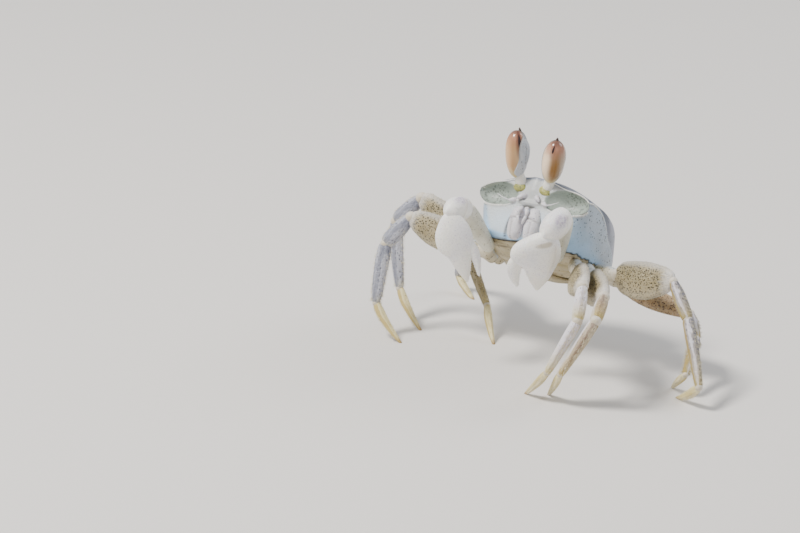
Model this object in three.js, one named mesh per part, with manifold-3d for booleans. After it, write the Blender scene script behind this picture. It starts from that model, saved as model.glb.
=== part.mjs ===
// Ghost crab at life size, standing with its front raised and all eight feet on the floor.
// Units are millimetres, +Z up. The crab heads along -Y and its left side is at +X.
// Most sizes are fractions of the width across the carapace, as crabs are measured.
import * as THREE from 'three';
import { mergeVertices } from 'three/addons/utils/BufferGeometryUtils.js';
import Module from 'manifold-3d';

const wasm = await Module();
wasm.setup();

const CARAPACE_WIDTH = 34;
const HEIGHT = 38.2;            // of the body's own origin above the floor
const PLACE_X = -6.0;         // that origin, seen from the middle of the whole crab
const PLACE_Y = 11.9;
const PITCH = 37;             // degrees that the front is raised
const ROLL = -3;              // degrees that the left side is lowered
const GAP = 0.3;              // between shell pieces that meet
const FAR = 60;               // side of the boxes that trim

const mm = (part) => part * CARAPACE_WIDTH;
const rad = THREE.MathUtils.degToRad;
const vec = (x, y, z) => new THREE.Vector3(x, y, z);

// ---------- colours ----------

const IVORY = { color: 0xe6e3dc, roughness: 0.45, metalness: 0 };
const GREY_BLUE = { color: 0xc3cdd3, roughness: 0.4, metalness: 0 };
const SAND = { color: 0xc9c2a6, roughness: 0.5, metalness: 0 };
const LILAC = { color: 0xd9d3da, roughness: 0.45, metalness: 0 };
const YELLOW = { color: 0xd8cd8e, roughness: 0.5, metalness: 0 };
const EYE = { color: 0xd1a079, roughness: 0.15, metalness: 0 };

const group = new THREE.Group();

// ---------- solids ----------

function bare(geometry) {
  geometry.deleteAttribute('normal');
  geometry.deleteAttribute('uv');
  geometry.clearGroups();
  return mergeVertices(geometry, 1e-4);
}

function toSolid(geometry) {
  const positions = geometry.getAttribute('position').array;
  return new wasm.Manifold(new wasm.Mesh({
    numProp: 3,
    vertProperties: new Float32Array(positions),
    triVerts: new Uint32Array(geometry.getIndex().array),
  }));
}

function toGeometry(solid) {
  const mesh = solid.getMesh();
  const geometry = new THREE.BufferGeometry();
  geometry.setAttribute('position', new THREE.BufferAttribute(mesh.vertProperties, 3));
  geometry.setIndex(new THREE.BufferAttribute(mesh.triVerts, 1));
  return geometry;
}

// A value between evenly spaced stations, 0 to 1 along them.
function between(stations, t) {
  const last = stations.length - 1;
  const index = Math.min(Math.floor(t * last), last - 1);
  return THREE.MathUtils.lerp(stations[index], stations[index + 1], t * last - index);
}

// A closed skin around the Y axis; place gives a point for each step along and around.
function skin(around, along, place) {
  const geometry = bare(new THREE.CylinderGeometry(1, 1, 1, around, along));
  const at = geometry.getAttribute('position');
  for (let i = 0; i < at.count; i += 1) {
    const rim = Math.hypot(at.getX(i), at.getZ(i)) > 0.5 ? 1 : 0;
    const angle = Math.atan2(at.getX(i), at.getZ(i));
    const point = place(at.getY(i) + 0.5, angle, rim);
    at.setXYZ(i, point.x, point.y, point.z);
  }
  return geometry;
}

// A limb piece along Y from 0 to length: width across, depth up, and a bow up or down.
function limb(length, width, depth, form, grow = 0) {
  return skin(form.around, form.along, (t, angle, rim) => vec(
    rim * Math.sin(angle) * (mm(width) * between(form.wide, t) / 2 + grow),
    t * (length + 2 * grow) - grow,
    rim * Math.cos(angle) * (mm(depth) * between(form.deep, t) / 2 + grow)
      + mm(depth) * between(form.bow, t),
  ));
}

// All of a solid on the far side of a plane is cut away.
function trim(solid, point, normal) {
  const box = new THREE.BoxGeometry(FAR, FAR, FAR).translate(0, 0, FAR / 2);
  box.applyQuaternion(new THREE.Quaternion().setFromUnitVectors(vec(0, 0, 1), normal));
  return solid.subtract(toSolid(bare(box.translate(point.x, point.y, point.z))));
}

function add(name, geometry, look, matrix) {
  const mesh = new THREE.Mesh(geometry, new THREE.MeshStandardMaterial(look));
  mesh.name = name;
  matrix.decompose(mesh.position, mesh.quaternion, mesh.scale);
  group.add(mesh);
  return mesh;
}

// ---------- body frame: x to the crab's right, y forward, z up through its back ----------

const forward = vec(0, -Math.cos(rad(PITCH)), Math.sin(rad(PITCH)));
const levelUp = vec(0, Math.sin(rad(PITCH)), Math.cos(rad(PITCH)));
const right = vec(-Math.cos(rad(ROLL)), 0, 0).addScaledVector(levelUp, Math.sin(rad(ROLL)));
const up = new THREE.Vector3().crossVectors(right, forward);
const bodyFrame = new THREE.Matrix4().makeBasis(right, forward, up);
bodyFrame.setPosition(PLACE_X, PLACE_Y, HEIGHT);
const fromBody = (x, y, z) => vec(mm(x), mm(y), mm(z)).applyMatrix4(bodyFrame);

function toBody(geometry, frame) {
  const change = new THREE.Matrix4().copy(bodyFrame).invert().multiply(frame);
  return geometry.clone().applyMatrix4(change);
}

// ---------- body shell ----------

// Evenly spaced from the rear edge to the front edge, as parts of the carapace width.
const BODY_REAR = -0.44;
const BODY_FRONT = 0.42;
const MARGIN_OUT = [0.26, 0.385, 0.445, 0.485, 0.505, 0.515, 0.518, 0.515, 0.505, 0.46];
const MARGIN_UP = [-0.31, -0.25, -0.18, -0.115, -0.07, -0.045, -0.03, -0.028, -0.035, -0.06];
const TOP_UP = [-0.24, -0.125, -0.045, 0.012, 0.05, 0.075, 0.092, 0.1, 0.1, 0.075];
const FOOT_OUT = [0.2, 0.36, 0.41, 0.43, 0.44, 0.45, 0.445, 0.43, 0.4, 0.34];
const FOOT_UP = [-0.37, -0.41, -0.435, -0.45, -0.455, -0.455, -0.45, -0.44, -0.425, -0.4];
const KEEL_UP = [-0.39, -0.46, -0.5, -0.52, -0.53, -0.53, -0.52, -0.5, -0.475, -0.44];

// One ring of the body: a flat crown, a sharp margin, a bulging side wall and the underside.
function bodyRing(t, angle) {
  const turn = Math.abs(angle) / Math.PI;
  const out = between(MARGIN_OUT, t);
  const edge = between(MARGIN_UP, t);
  const footOut = between(FOOT_OUT, t);
  const footUp = between(FOOT_UP, t);
  if (turn <= 0.4) {
    const share = turn / 0.4;
    const crown = between(TOP_UP, t) - edge;
    return [out * share, edge + crown * (1 - share ** 2.1)];
  }
  if (turn <= 0.7) {
    const share = (turn - 0.4) / 0.3;
    const bulge = THREE.MathUtils.lerp(0.05, 0.022, t) * Math.sin(Math.PI * share);
    return [
      THREE.MathUtils.lerp(out, footOut, share) + bulge,
      THREE.MathUtils.lerp(edge, footUp, share),
    ];
  }
  const share = (turn - 0.7) / 0.3;
  const keel = between(KEEL_UP, t);
  return [footOut * Math.cos(share * Math.PI / 2), footUp + (keel - footUp) * share ** 0.8];
}

function bodySkin(grow) {
  return skin(34, 15, (t, angle, rim) => {
    const [out, high] = bodyRing(t, angle);
    const middle = (between(TOP_UP, t) + between(KEEL_UP, t)) / 2;
    const swell = 1 + grow / mm(0.24);
    const lean = 0.1 * t * t * (high + 0.1);
    return vec(
      rim * Math.sign(angle || 1) * (mm(out) + (out > 0.01 ? grow : 0)),
      mm(THREE.MathUtils.lerp(BODY_REAR, BODY_FRONT, t) + lean) + (t - 0.5) * 2 * grow,
      mm(middle) + rim * mm(high - middle) * swell,
    );
  });
}

const body = toSolid(bodySkin(0));
const bodyRoom = toSolid(bodySkin(GAP));

// ---------- eyes ----------

const EYE_BASE = { left: [0.108, 0.405, 0.0], right: [0.135, 0.405, 0.0] };
const EYE_LENGTH = mm(0.475);
const EYE_SIGHT = 37;         // turn of a line of sight from the front left, in degrees
const EYE_ACROSS = { left: 8, right: 0 };  // degrees that a stalk leans across that line
const EYE_TOWARD = { left: 16, right: -3 }; // and along it
const STALK = {
  around: 8, along: 9,
  wide: [1, 0.95, 0.9, 1.15, 1.4, 1.5, 1.4, 1.05, 0.5, 0.16],
  deep: [1, 0.95, 0.75, 0.62, 0.6, 0.62, 0.62, 0.5, 0.3, 0.16],
  bow: [0, 0, 0.12, 0.42, 0.62, 0.72, 0.74, 0.62, 0.4, 0.22],
};
const STALK_THICK = 0.1;
const CORNEA_LONG = 0.385;
const CORNEA_WIDE = 0.182;
const CORNEA_UP = 0.266;
const EYE_FORWARD = { left: 0, right: 0.05 };  // of the eye from the foot of its stalk
const NECK = [0, 0.25, 0.75, 1, 1, 1, 1, 1, 1, 1]; // share of that, along the stalk

const stalkForm = (side) => ({
  ...STALK, bow: STALK.bow.map((bow, i) => bow - NECK[i] * EYE_FORWARD[side] / STALK_THICK),
});
const stalkSkin = (side, grow) => (
  limb(EYE_LENGTH, STALK_THICK, STALK_THICK, stalkForm(side), grow)
);

// The stalk's own up is the side away from the line of sight.
function eyeFrame(side) {
  const sign = side === 'left' ? 1 : -1;
  const across = vec(Math.cos(rad(EYE_SIGHT)), Math.sin(rad(EYE_SIGHT)), 0);
  const toward = vec(Math.sin(rad(EYE_SIGHT)), -Math.cos(rad(EYE_SIGHT)), 0);
  const along = vec(0, 0, 1).addScaledVector(across, Math.tan(rad(EYE_ACROSS[side])));
  along.addScaledVector(toward, Math.tan(rad(EYE_TOWARD[side]))).normalize();
  const inward = vec(side === 'left' ? -0.55 : 0.75, 0.8, 0).normalize();
  const wide = new THREE.Vector3().crossVectors(along, inward).normalize();
  const back = new THREE.Vector3().crossVectors(wide, along);
  const frame = new THREE.Matrix4().makeBasis(wide, along, back);
  const [out, front, high] = EYE_BASE[side];
  return frame.setPosition(fromBody(-sign * out, front, high));
}

function cornea(side, grow = 0) {
  const ball = new THREE.SphereGeometry(1, 10, 7);
  const half = mm(CORNEA_WIDE) / 2 + grow;
  ball.scale(half, mm(CORNEA_LONG) / 2 + grow, half);
  return bare(ball.translate(0, mm(CORNEA_UP), -mm(EYE_FORWARD[side])));
}

// ---------- carapace, thorax, face and abdomen ----------

const SEAM_UP = -0.415;       // lower edge of the side walls, above the leg bases
const SEAM_SLOPE = 5;         // degrees, rising to the rear
const ORBIT_AT = [0.32, 0.475, -0.09];
const ORBIT_HALF = [0.215, 0.15, 0.105];
const ORBIT_SWEEP = 17;       // degrees that the outer end lies farther back
const MOUTH_WIDE = 0.135;
const MOUTH_LONG = 0.27;

function orbit(sign) {
  const ball = new THREE.SphereGeometry(1, 11, 7);
  ball.scale(mm(ORBIT_HALF[0]), mm(ORBIT_HALF[1]), mm(ORBIT_HALF[2]));
  ball.rotateZ(rad(-sign * -ORBIT_SWEEP));
  ball.translate(-sign * mm(ORBIT_AT[0]), mm(ORBIT_AT[1]), mm(ORBIT_AT[2]));
  return toSolid(bare(ball));
}

const seamNormal = vec(0, Math.sin(rad(SEAM_SLOPE)), Math.cos(rad(SEAM_SLOPE)));
const seamAt = (shift) => vec(0, 0, mm(SEAM_UP)).addScaledVector(seamNormal, shift);
let carapace = trim(body, seamAt(GAP / 2), seamNormal.clone().negate());
const thorax = trim(body, seamAt(-GAP / 2), seamNormal);
for (const side of ['left', 'right']) {
  carapace = carapace.subtract(orbit(side === 'left' ? 1 : -1));
  carapace = carapace.subtract(toSolid(toBody(stalkSkin(side, GAP), eyeFrame(side))));
  carapace = carapace.subtract(toSolid(toBody(cornea(side, GAP), eyeFrame(side))));
}
add('carapace', toGeometry(carapace), GREY_BLUE, bodyFrame);
add('thorax', toGeometry(thorax), IVORY, bodyFrame);

for (const side of ['left', 'right']) {
  const sign = side === 'left' ? 1 : -1;
  const room = toSolid(stalkSkin(side, GAP));
  add(`eyestalk_${side}`, stalkSkin(side, 0), IVORY, eyeFrame(side));
  add(`eye_${side}`, toGeometry(toSolid(cornea(side)).subtract(room)), EYE, eyeFrame(side));

  const plate = new THREE.SphereGeometry(1, 12, 8);
  plate.scale(mm(MOUTH_WIDE) / 2, mm(0.06), mm(MOUTH_LONG) / 2);
  plate.rotateX(rad(-8));
  plate.translate(-sign * mm(0.0745), mm(0.405), mm(-0.31));
  const maxilliped = trim(
    toSolid(bare(plate)).subtract(bodyRoom),
    vec(-sign * GAP / 2, 0, 0),
    vec(sign, 0, 0),
  );
  add(`maxilliped_${side}`, toGeometry(maxilliped), IVORY, bodyFrame);
}

// The abdomen turns in under the thorax: a narrow tapered plate, widest at the rear.
const abdomenPath = new THREE.CatmullRomCurve3([
  vec(0, mm(-0.462), mm(-0.3)),
  vec(0, mm(-0.458), mm(-0.39)),
  vec(0, mm(-0.365), mm(-0.47)),
  vec(0, mm(-0.25), mm(-0.515)),
  vec(0, mm(-0.06), mm(-0.545)),
  vec(0, mm(0.12), mm(-0.54)),
]);
const ABDOMEN_HALF = [0.17, 0.16, 0.15, 0.12, 0.085, 0.07, 0.06, 0.045];
const ABDOMEN_THICK = 0.028;
const abdomen = skin(12, 14, (t, angle, rim) => {
  const middle = abdomenPath.getPointAt(t);
  const along = abdomenPath.getTangentAt(t);
  const out = vec(0, along.z, -along.y);
  const half = mm(between(ABDOMEN_HALF, t));
  return middle
    .addScaledVector(vec(1, 0, 0), -rim * Math.sin(angle) * half)
    .addScaledVector(out, rim * Math.cos(angle) * mm(ABDOMEN_THICK));
});
add('abdomen', toGeometry(toSolid(abdomen).subtract(bodyRoom)), IVORY, bodyFrame);

// ---------- limb pieces ----------

const BASE = {
  around: 8, along: 2, wide: [1, 1.05, 0.95, 0.8], deep: [1, 1.05, 0.9, 0.75], bow: [0, 0],
};
const MERUS = {
  around: 10, along: 6, bow: [0, -0.05, -0.08, -0.08, -0.06, -0.03, 0],
  wide: [0.6, 0.88, 1, 1, 0.95, 0.86, 0.7], deep: [0.64, 0.9, 1.02, 1.04, 0.95, 0.76, 0.54],
};
const CARPUS = {
  around: 8, along: 3, bow: [0, 0],
  wide: [0.72, 0.98, 1, 0.88], deep: [0.68, 0.96, 1, 0.9],
};
const PROPODUS = {
  around: 8, along: 4, bow: [0, 0.03, 0.03, 0],
  wide: [0.98, 1, 0.95, 0.84, 0.72], deep: [0.98, 1.02, 0.96, 0.84, 0.7],
};
const DACTYL = {
  around: 6, along: 5, bow: [0, 0.16, 0.2, 0.14, 0],
  wide: [0.85, 1, 0.9, 0.75, 0.58, 0.34], deep: [0.85, 1, 0.88, 0.7, 0.5, 0.28],
};

// Frame of a piece from a to b, whose up lies in the limb's plane on the outer side.
function limbFrame(a, b, planeNormal) {
  const along = b.clone().sub(a).normalize();
  const upward = new THREE.Vector3().crossVectors(along, planeNormal).normalize();
  const wide = new THREE.Vector3().crossVectors(along, upward);
  return new THREE.Matrix4().makeBasis(wide, along, upward).setPosition(a);
}

function heading(turn, rise) {
  const level = Math.cos(rad(rise));
  const x = level * Math.cos(rad(turn));
  return vec(x, level * Math.sin(rad(turn)), Math.sin(rad(rise)));
}

// Both pieces at a joint end on one flat between them, half a gap back from it.
function mitre(solid, frame, joint, before, after, keepsBefore) {
  const normal = before.clone().add(after).normalize();
  if (!keepsBefore) normal.negate();
  const inverse = frame.clone().invert();
  const point = joint.clone().addScaledVector(normal, -GAP / 2).applyMatrix4(inverse);
  return trim(solid, point, normal.transformDirection(inverse));
}

function buildLimb(name, joints, pieces, planeNormal, room) {
  const ways = joints.slice(1).map((joint, i) => joint.clone().sub(joints[i]).normalize());
  pieces.forEach((piece, i) => {
    const frame = limbFrame(joints[i], joints[i + 1], planeNormal);
    const length = joints[i].distanceTo(joints[i + 1]);
    const over = mm(piece.over ?? 0.02);
    const form = limb(length + 2 * over, piece.wide, piece.deep, piece.form);
    let solid = toSolid(form.translate(0, -over, 0));
    if (i > 0) solid = mitre(solid, frame, joints[i], ways[i - 1], ways[i], false);
    if (i < ways.length - 1) solid = mitre(solid, frame, joints[i + 1], ways[i], ways[i + 1], true);
    if (piece.meetsBody) {
      let near = toSolid(toBody(toGeometry(solid), frame)).subtract(bodyRoom);
      if (room) near = near.subtract(room);
      add(`${name}_${piece.name}`, toGeometry(near), piece.look, bodyFrame);
      return;
    }
    if (piece.onFloor) {
      const inverse = frame.clone().invert();
      const down = vec(0, 0, -1).transformDirection(inverse);
      solid = trim(solid, joints[i + 1].clone().setZ(0).applyMatrix4(inverse), down);
    }
    add(`${name}_${piece.name}`, toGeometry(solid), piece.look, frame);
  });
}

// ---------- claws ----------

// The palm carries the fixed finger at its tip; the other finger is hinged above it.
const PALM = {
  around: 12, along: 8,
  wide: [0.5, 0.82, 1, 1, 0.88, 0.66, 0.5, 0.36, 0.16],
  deep: [0.37, 0.68, 0.94, 1.03, 0.96, 0.64, 0.48, 0.29, 0.07],
  bow: [0, 0.06, 0.14, 0.17, 0.16, 0.05, 0.02, 0.01, 0],
};
const FINGER = {
  around: 8, along: 6, bow: [0, 0.12, 0.2, 0.22, 0.18, 0.08, -0.04],
  wide: [0.9, 1, 0.95, 0.84, 0.7, 0.5, 0.24], deep: [0.8, 1, 1, 0.88, 0.7, 0.48, 0.2],
};
const CLAW_MERUS = {
  around: 10, along: 4, bow: [0, 0], wide: [0.75, 0.9, 1, 1, 0.9], deep: [0.7, 0.85, 1, 1.05, 0.9],
};
const CLAW_CARPUS = {
  around: 12, along: 6, bow: [0, 0],
  wide: [0.3, 0.75, 0.95, 1, 0.95, 0.75, 0.3], deep: [0.3, 0.75, 0.95, 1, 0.95, 0.75, 0.3],
};
const clawRooms = {};
const CLAWS = {
  left: {
    hip: [0.28, 0.25, -0.52], ways: [[-38, 60], [-93, -18], [147, -70]],
    long: [0.5, 0.24, 0.56], merus: [0.15, 0.17], carpus: [0.2, 0.26],
    palm: [0.16, 0.37], finger: [0.075, 0.11],
    hinge: [0.25, 0.195], tip: [0.545, 0.165], above: [-0.8, -0.6, 0], sag: 1,
  },
  right: {
    hip: [0.33, 0.25, -0.52], ways: [[-98, 56], [-88, 8], [30, -76]],
    long: [0.5, 0.24, 0.6], merus: [0.13, 0.145], carpus: [0.17, 0.2],
    palm: [0.13, 0.28], finger: [0.06, 0.08],
    hinge: [0.27, 0.085], tip: [0.575, 0.105], above: [0.8, 0.6, 0], sag: -0.3,
  },
};

for (const side of ['left', 'right']) {
  const claw = CLAWS[side];
  const sign = side === 'left' ? 1 : -1;
  const ways = claw.ways.map((way) => heading(...way));
  const joints = [fromBody(-sign * claw.hip[0], claw.hip[1], claw.hip[2])];
  ways.forEach((way, i) => joints.push(joints[i].clone().addScaledVector(way, mm(claw.long[i]))));
  const across = (i, j) => new THREE.Vector3().crossVectors(ways[i], ways[j]).normalize();
  const palmPlane = vec(...claw.above).cross(ways[2]).normalize();
  const palmFrame = limbFrame(joints[2], joints[3], palmPlane);
  const inPalm = ([along, above]) => vec(0, mm(along), mm(above)).applyMatrix4(palmFrame);
  const hinge = inPalm(claw.hinge);
  const tip = inPalm(claw.tip);
  const fingerFrame = limbFrame(hinge, tip, palmPlane);
  const inWorld = (geometry, frame) => toSolid(geometry.applyMatrix4(frame));
  const local = (solid, frame) => toGeometry(solid).applyMatrix4(frame.clone().invert());

  const carpusFrame = limbFrame(joints[1], joints[2], across(0, 1));
  const carpusSkin = (grow) => limb(
    mm(claw.long[1] + 0.1), claw.carpus[0], claw.carpus[1], CLAW_CARPUS, grow,
  ).translate(0, -mm(0.05), 0);
  const carpusRoom = inWorld(carpusSkin(GAP), carpusFrame);
  add(`claw_${side}_carpus`, carpusSkin(0), IVORY, carpusFrame);

  const merusFrame = limbFrame(joints[0], joints[1], across(0, 1));
  const merus = limb(mm(claw.long[0]), claw.merus[0], claw.merus[1], CLAW_MERUS);
  const merusCut = inWorld(merus, merusFrame)
    .subtract(carpusRoom)
    .subtract(inWorld(toGeometry(bodyRoom), bodyFrame));
  add(`claw_${side}_merus`, local(merusCut, merusFrame), IVORY, merusFrame);
  const merusRoom = limb(mm(claw.long[0]), claw.merus[0], claw.merus[1], CLAW_MERUS, GAP);
  clawRooms[side] = inWorld(merusRoom, merusFrame);

  const fingerLong = hinge.distanceTo(tip);
  const finger = (grow) => limb(fingerLong, claw.finger[0], claw.finger[1], FINGER, grow);
  add(`claw_${side}_finger`, finger(0), IVORY, fingerFrame);

  const palmForm = { ...PALM, bow: PALM.bow.map((bow) => bow * claw.sag) };
  const palm = limb(mm(claw.long[2]), claw.palm[0], claw.palm[1], palmForm);
  const palmCut = inWorld(palm, palmFrame)
    .subtract(carpusRoom)
    .subtract(inWorld(finger(GAP), fingerFrame));
  add(`claw_${side}_palm`, local(palmCut, palmFrame), IVORY, palmFrame);
}

// ---------- walking legs ----------

// Lengths of base, merus, carpus, propodus and dactyl, then the depths of the last four.
const LEG_SIZES = {
  2: { long: [0.2, 0.52, 0.31, 0.49, 0.4], deep: [0.115, 0.245, 0.125, 0.11, 0.075] },
  3: { long: [0.22, 0.62, 0.34, 0.55, 0.42], deep: [0.12, 0.255, 0.13, 0.115, 0.08] },
  4: { long: [0.22, 0.64, 0.34, 0.56, 0.4], deep: [0.13, 0.285, 0.1, 0.094, 0.08] },
  5: { long: [0.2, 0.63, 0.27, 0.4, 0.32], deep: [0.11, 0.175, 0.095, 0.085, 0.065] },
};
const LEG_HIPS = {
  2: [0.42, 0.155, -0.51],
  3: [0.455, 0.025, -0.49],
  4: [0.47, -0.1, -0.45],
  5: [0.43, -0.24, -0.42],
};
// Turn from +X and rise of merus, carpus and propodus, and the dactyl's turn alone,
// because its tip is lowered to the floor.
const LEG_POSES = {
  left: {
    2: [[-51, 6], [-65, -43], [-154, -62], 160],
    3: [[-47, 4], [-66, -14], [-167, -59], 142],
    4: [[-12, 9], [-29, -43], [-41, -51], 153],
    5: [[3, -12], [-46, -27], [-69, -27], 147],
  },
  right: {
    2: [[-172, 15], [-150, -48], [-89, -74], -5],
    3: [[173, 22], [-174, -44], [-42, -74], -18],
    4: [[151, 7], [-31, -40], [-32, -38], -44],
    5: [[151, 4], [141, -54], [139, -57], -26],
  },
};
const LEG_WIDE = { base: 0.11, merus: 0.125, carpus: 0.1, propodus: 0.085, dactyl: 0.06 };
const INSET = 0.05;           // of a leg's root inside the thorax, before it is cut to fit
const TIP_DROP = 0.3;         // mm of a foot's tip taken off by the floor, which makes its flat

for (const side of ['left', 'right']) {
  const sign = side === 'left' ? 1 : -1;
  for (const number of [2, 3, 4, 5]) {
    const size = LEG_SIZES[number];
    const hip = LEG_HIPS[number];
    const pose = LEG_POSES[side][number];
    const joints = [fromBody(-sign * hip[0], hip[1], hip[2])];
    const go = (way, length) => joints.push(
      joints[joints.length - 1].clone().addScaledVector(way, mm(length)),
    );
    const first = heading(...pose[0]);
    const root = joints[0].clone().addScaledVector(first, -mm(INSET));
    go(first, size.long[0]);
    go(first, size.long[1]);
    go(heading(...pose[1]), size.long[2]);
    go(heading(...pose[2]), size.long[3]);
    const ankle = joints[joints.length - 1];
    const drop = THREE.MathUtils.radToDeg(Math.asin((ankle.z + TIP_DROP) / mm(size.long[4])));
    go(heading(pose[3], -drop), size.long[4]);
    joints[0] = root;
    const plane = new THREE.Vector3().crossVectors(first, heading(...pose[2])).normalize();
    const clawRoom = toSolid(toBody(toGeometry(clawRooms[side]), new THREE.Matrix4()));
    buildLimb(`leg${number}_${side}`, joints, [
      { name: 'base', wide: LEG_WIDE.base, deep: size.deep[0], form: BASE, look: SAND, meetsBody: true },
      { name: 'merus', wide: LEG_WIDE.merus, deep: size.deep[1], form: MERUS, look: SAND },
      { name: 'carpus', wide: LEG_WIDE.carpus, deep: size.deep[2], form: CARPUS, look: LILAC },
      { name: 'propodus', wide: LEG_WIDE.propodus, deep: size.deep[3], form: PROPODUS, look: LILAC },
      {
        name: 'dactyl', wide: LEG_WIDE.dactyl, deep: size.deep[4], form: DACTYL, look: YELLOW,
        over: 0, onFloor: true,
      },
    ], plane, number === 2 ? clawRoom : null);
  }
}

group.updateMatrixWorld(true);
if (group.children.length > 60) throw new Error('too many pieces');

export default group;
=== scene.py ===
"""Ghost crab at life size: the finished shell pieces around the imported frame.

Sizes are worked out in millimetres and handed to Blender in metres.
"""
import math

import bmesh
import bpy
import numpy as np
from mathutils import Matrix, Vector


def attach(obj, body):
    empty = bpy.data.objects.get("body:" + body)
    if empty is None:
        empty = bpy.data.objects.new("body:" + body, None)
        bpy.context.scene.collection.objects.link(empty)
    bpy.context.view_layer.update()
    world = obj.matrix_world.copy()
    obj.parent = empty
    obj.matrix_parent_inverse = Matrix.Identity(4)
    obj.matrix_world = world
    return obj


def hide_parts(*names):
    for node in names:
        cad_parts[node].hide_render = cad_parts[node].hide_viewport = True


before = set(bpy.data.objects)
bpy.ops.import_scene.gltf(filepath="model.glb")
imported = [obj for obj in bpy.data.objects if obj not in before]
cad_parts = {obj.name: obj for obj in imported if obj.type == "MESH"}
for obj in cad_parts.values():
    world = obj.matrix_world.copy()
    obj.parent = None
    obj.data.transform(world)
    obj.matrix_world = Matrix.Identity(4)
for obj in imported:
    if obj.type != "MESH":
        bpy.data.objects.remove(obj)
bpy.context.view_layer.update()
rng = np.random.default_rng(11)

WIDTH = 34.0              # across the carapace, mm
METRE = 0.001             # one millimetre
PI = math.pi
VIEW_TURN = math.radians(37)    # how far round to the crab's left the camera stands


# ---------- plain helpers ----------

def vec(*values):
    return np.array(values, float)


def unit(v):
    v = np.asarray(v, float)
    return v / np.linalg.norm(v)


def heading(turn, rise):
    turn, rise = math.radians(turn), math.radians(rise)
    return vec(math.cos(rise) * math.cos(turn), math.cos(rise) * math.sin(turn), math.sin(rise))


def between(stations, t):
    """A smooth value between evenly spaced stations, 0 to 1 along them."""
    v = np.asarray(stations, float)
    last = len(v) - 1
    x = np.clip(np.asarray(t, float), 0, 1) * last
    i = np.minimum(x.astype(int), last - 1)
    f = x - i
    a, b, c, d = v[np.maximum(i - 1, 0)], v[i], v[i + 1], v[np.minimum(i + 2, last)]
    return b + 0.5 * f * (c - a + f * (2 * a - 5 * b + 4 * c - d + f * (3 * (b - c) + d - a)))


def hump(x, middle, width):
    return np.exp(-((x - middle) / width) ** 2)


def step(x, low, high):
    s = np.clip((x - low) / (high - low), 0, 1)
    return s * s * (3 - 2 * s)


class Place:
    """A piece's own axes: x across, y along, z up, and where its origin is."""

    def __init__(self, origin, across, along, upward):
        self.origin = np.asarray(origin, float)
        self.axes = np.array([across, along, upward], float)

    def out(self, points):
        return self.origin + np.asarray(points, float) @ self.axes

    def turn(self, ways):
        return np.asarray(ways, float) @ self.axes


def world_at(*origin):
    return Place(origin, vec(1, 0, 0), vec(0, 1, 0), vec(0, 0, 1))


def limb_place(a, b, plane_normal):
    along = unit(b - a)
    upward = unit(np.cross(along, plane_normal))
    return Place(a, np.cross(along, upward), along, upward)


def joint_line(start, ways, long):
    """The joints of a limb, from its parts' ways and their lengths in carapace widths."""
    joints = [start]
    for way, part in zip(ways, long):
        joints.append(joints[-1] + way * part * WIDTH)
    return joints


def on_body(side, spots):
    """Spots on the body in carapace widths, given for the right side, put on either side."""
    flip = vec(-1, 1, 1) if side == "left" else vec(1, 1, 1)
    return BODY.out(np.asarray(spots, float) * flip * WIDTH)


# ---------- meshes ----------

def grid_faces(rings, around):
    """Quads over rings of points, and a fan at each end to one more point there."""
    r, a = np.meshgrid(np.arange(rings - 1), np.arange(around), indexing="ij")
    beside = (a + 1) % around
    faces = np.stack([r * around + a, r * around + beside, (r + 1) * around + beside,
                      (r + 1) * around + a], -1).reshape(-1, 4).tolist()
    first, last, edge = rings * around, rings * around + 1, (rings - 1) * around
    faces += [[first, (i + 1) % around, i] for i in range(around)]
    faces += [[last, edge + i, edge + (i + 1) % around] for i in range(around)]
    return faces


def into_scene(name, data):
    piece = bpy.data.objects.new(name, data)
    bpy.context.scene.collection.objects.link(piece)
    return piece


def write_fields(mesh, fields):
    """Stores what a finish reads, one vector to a point under each name."""
    for label, rows in fields.items():
        attribute = mesh.attributes.new(label, "FLOAT_VECTOR", "POINT")
        attribute.data.foreach_set("vector", np.asarray(rows).astype(np.float32).ravel())


def set_on_frame(name, mesh, finish, nodes):
    """Smooths a mesh, gives it its finish and sets it on the frame as one piece."""
    mesh.polygons.foreach_set("use_smooth", np.ones(len(mesh.polygons), bool))
    mesh.materials.append(finish)
    mesh.update()
    piece = into_scene(name, mesh)
    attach(piece, "root")
    if nodes:
        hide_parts(*nodes)


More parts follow.
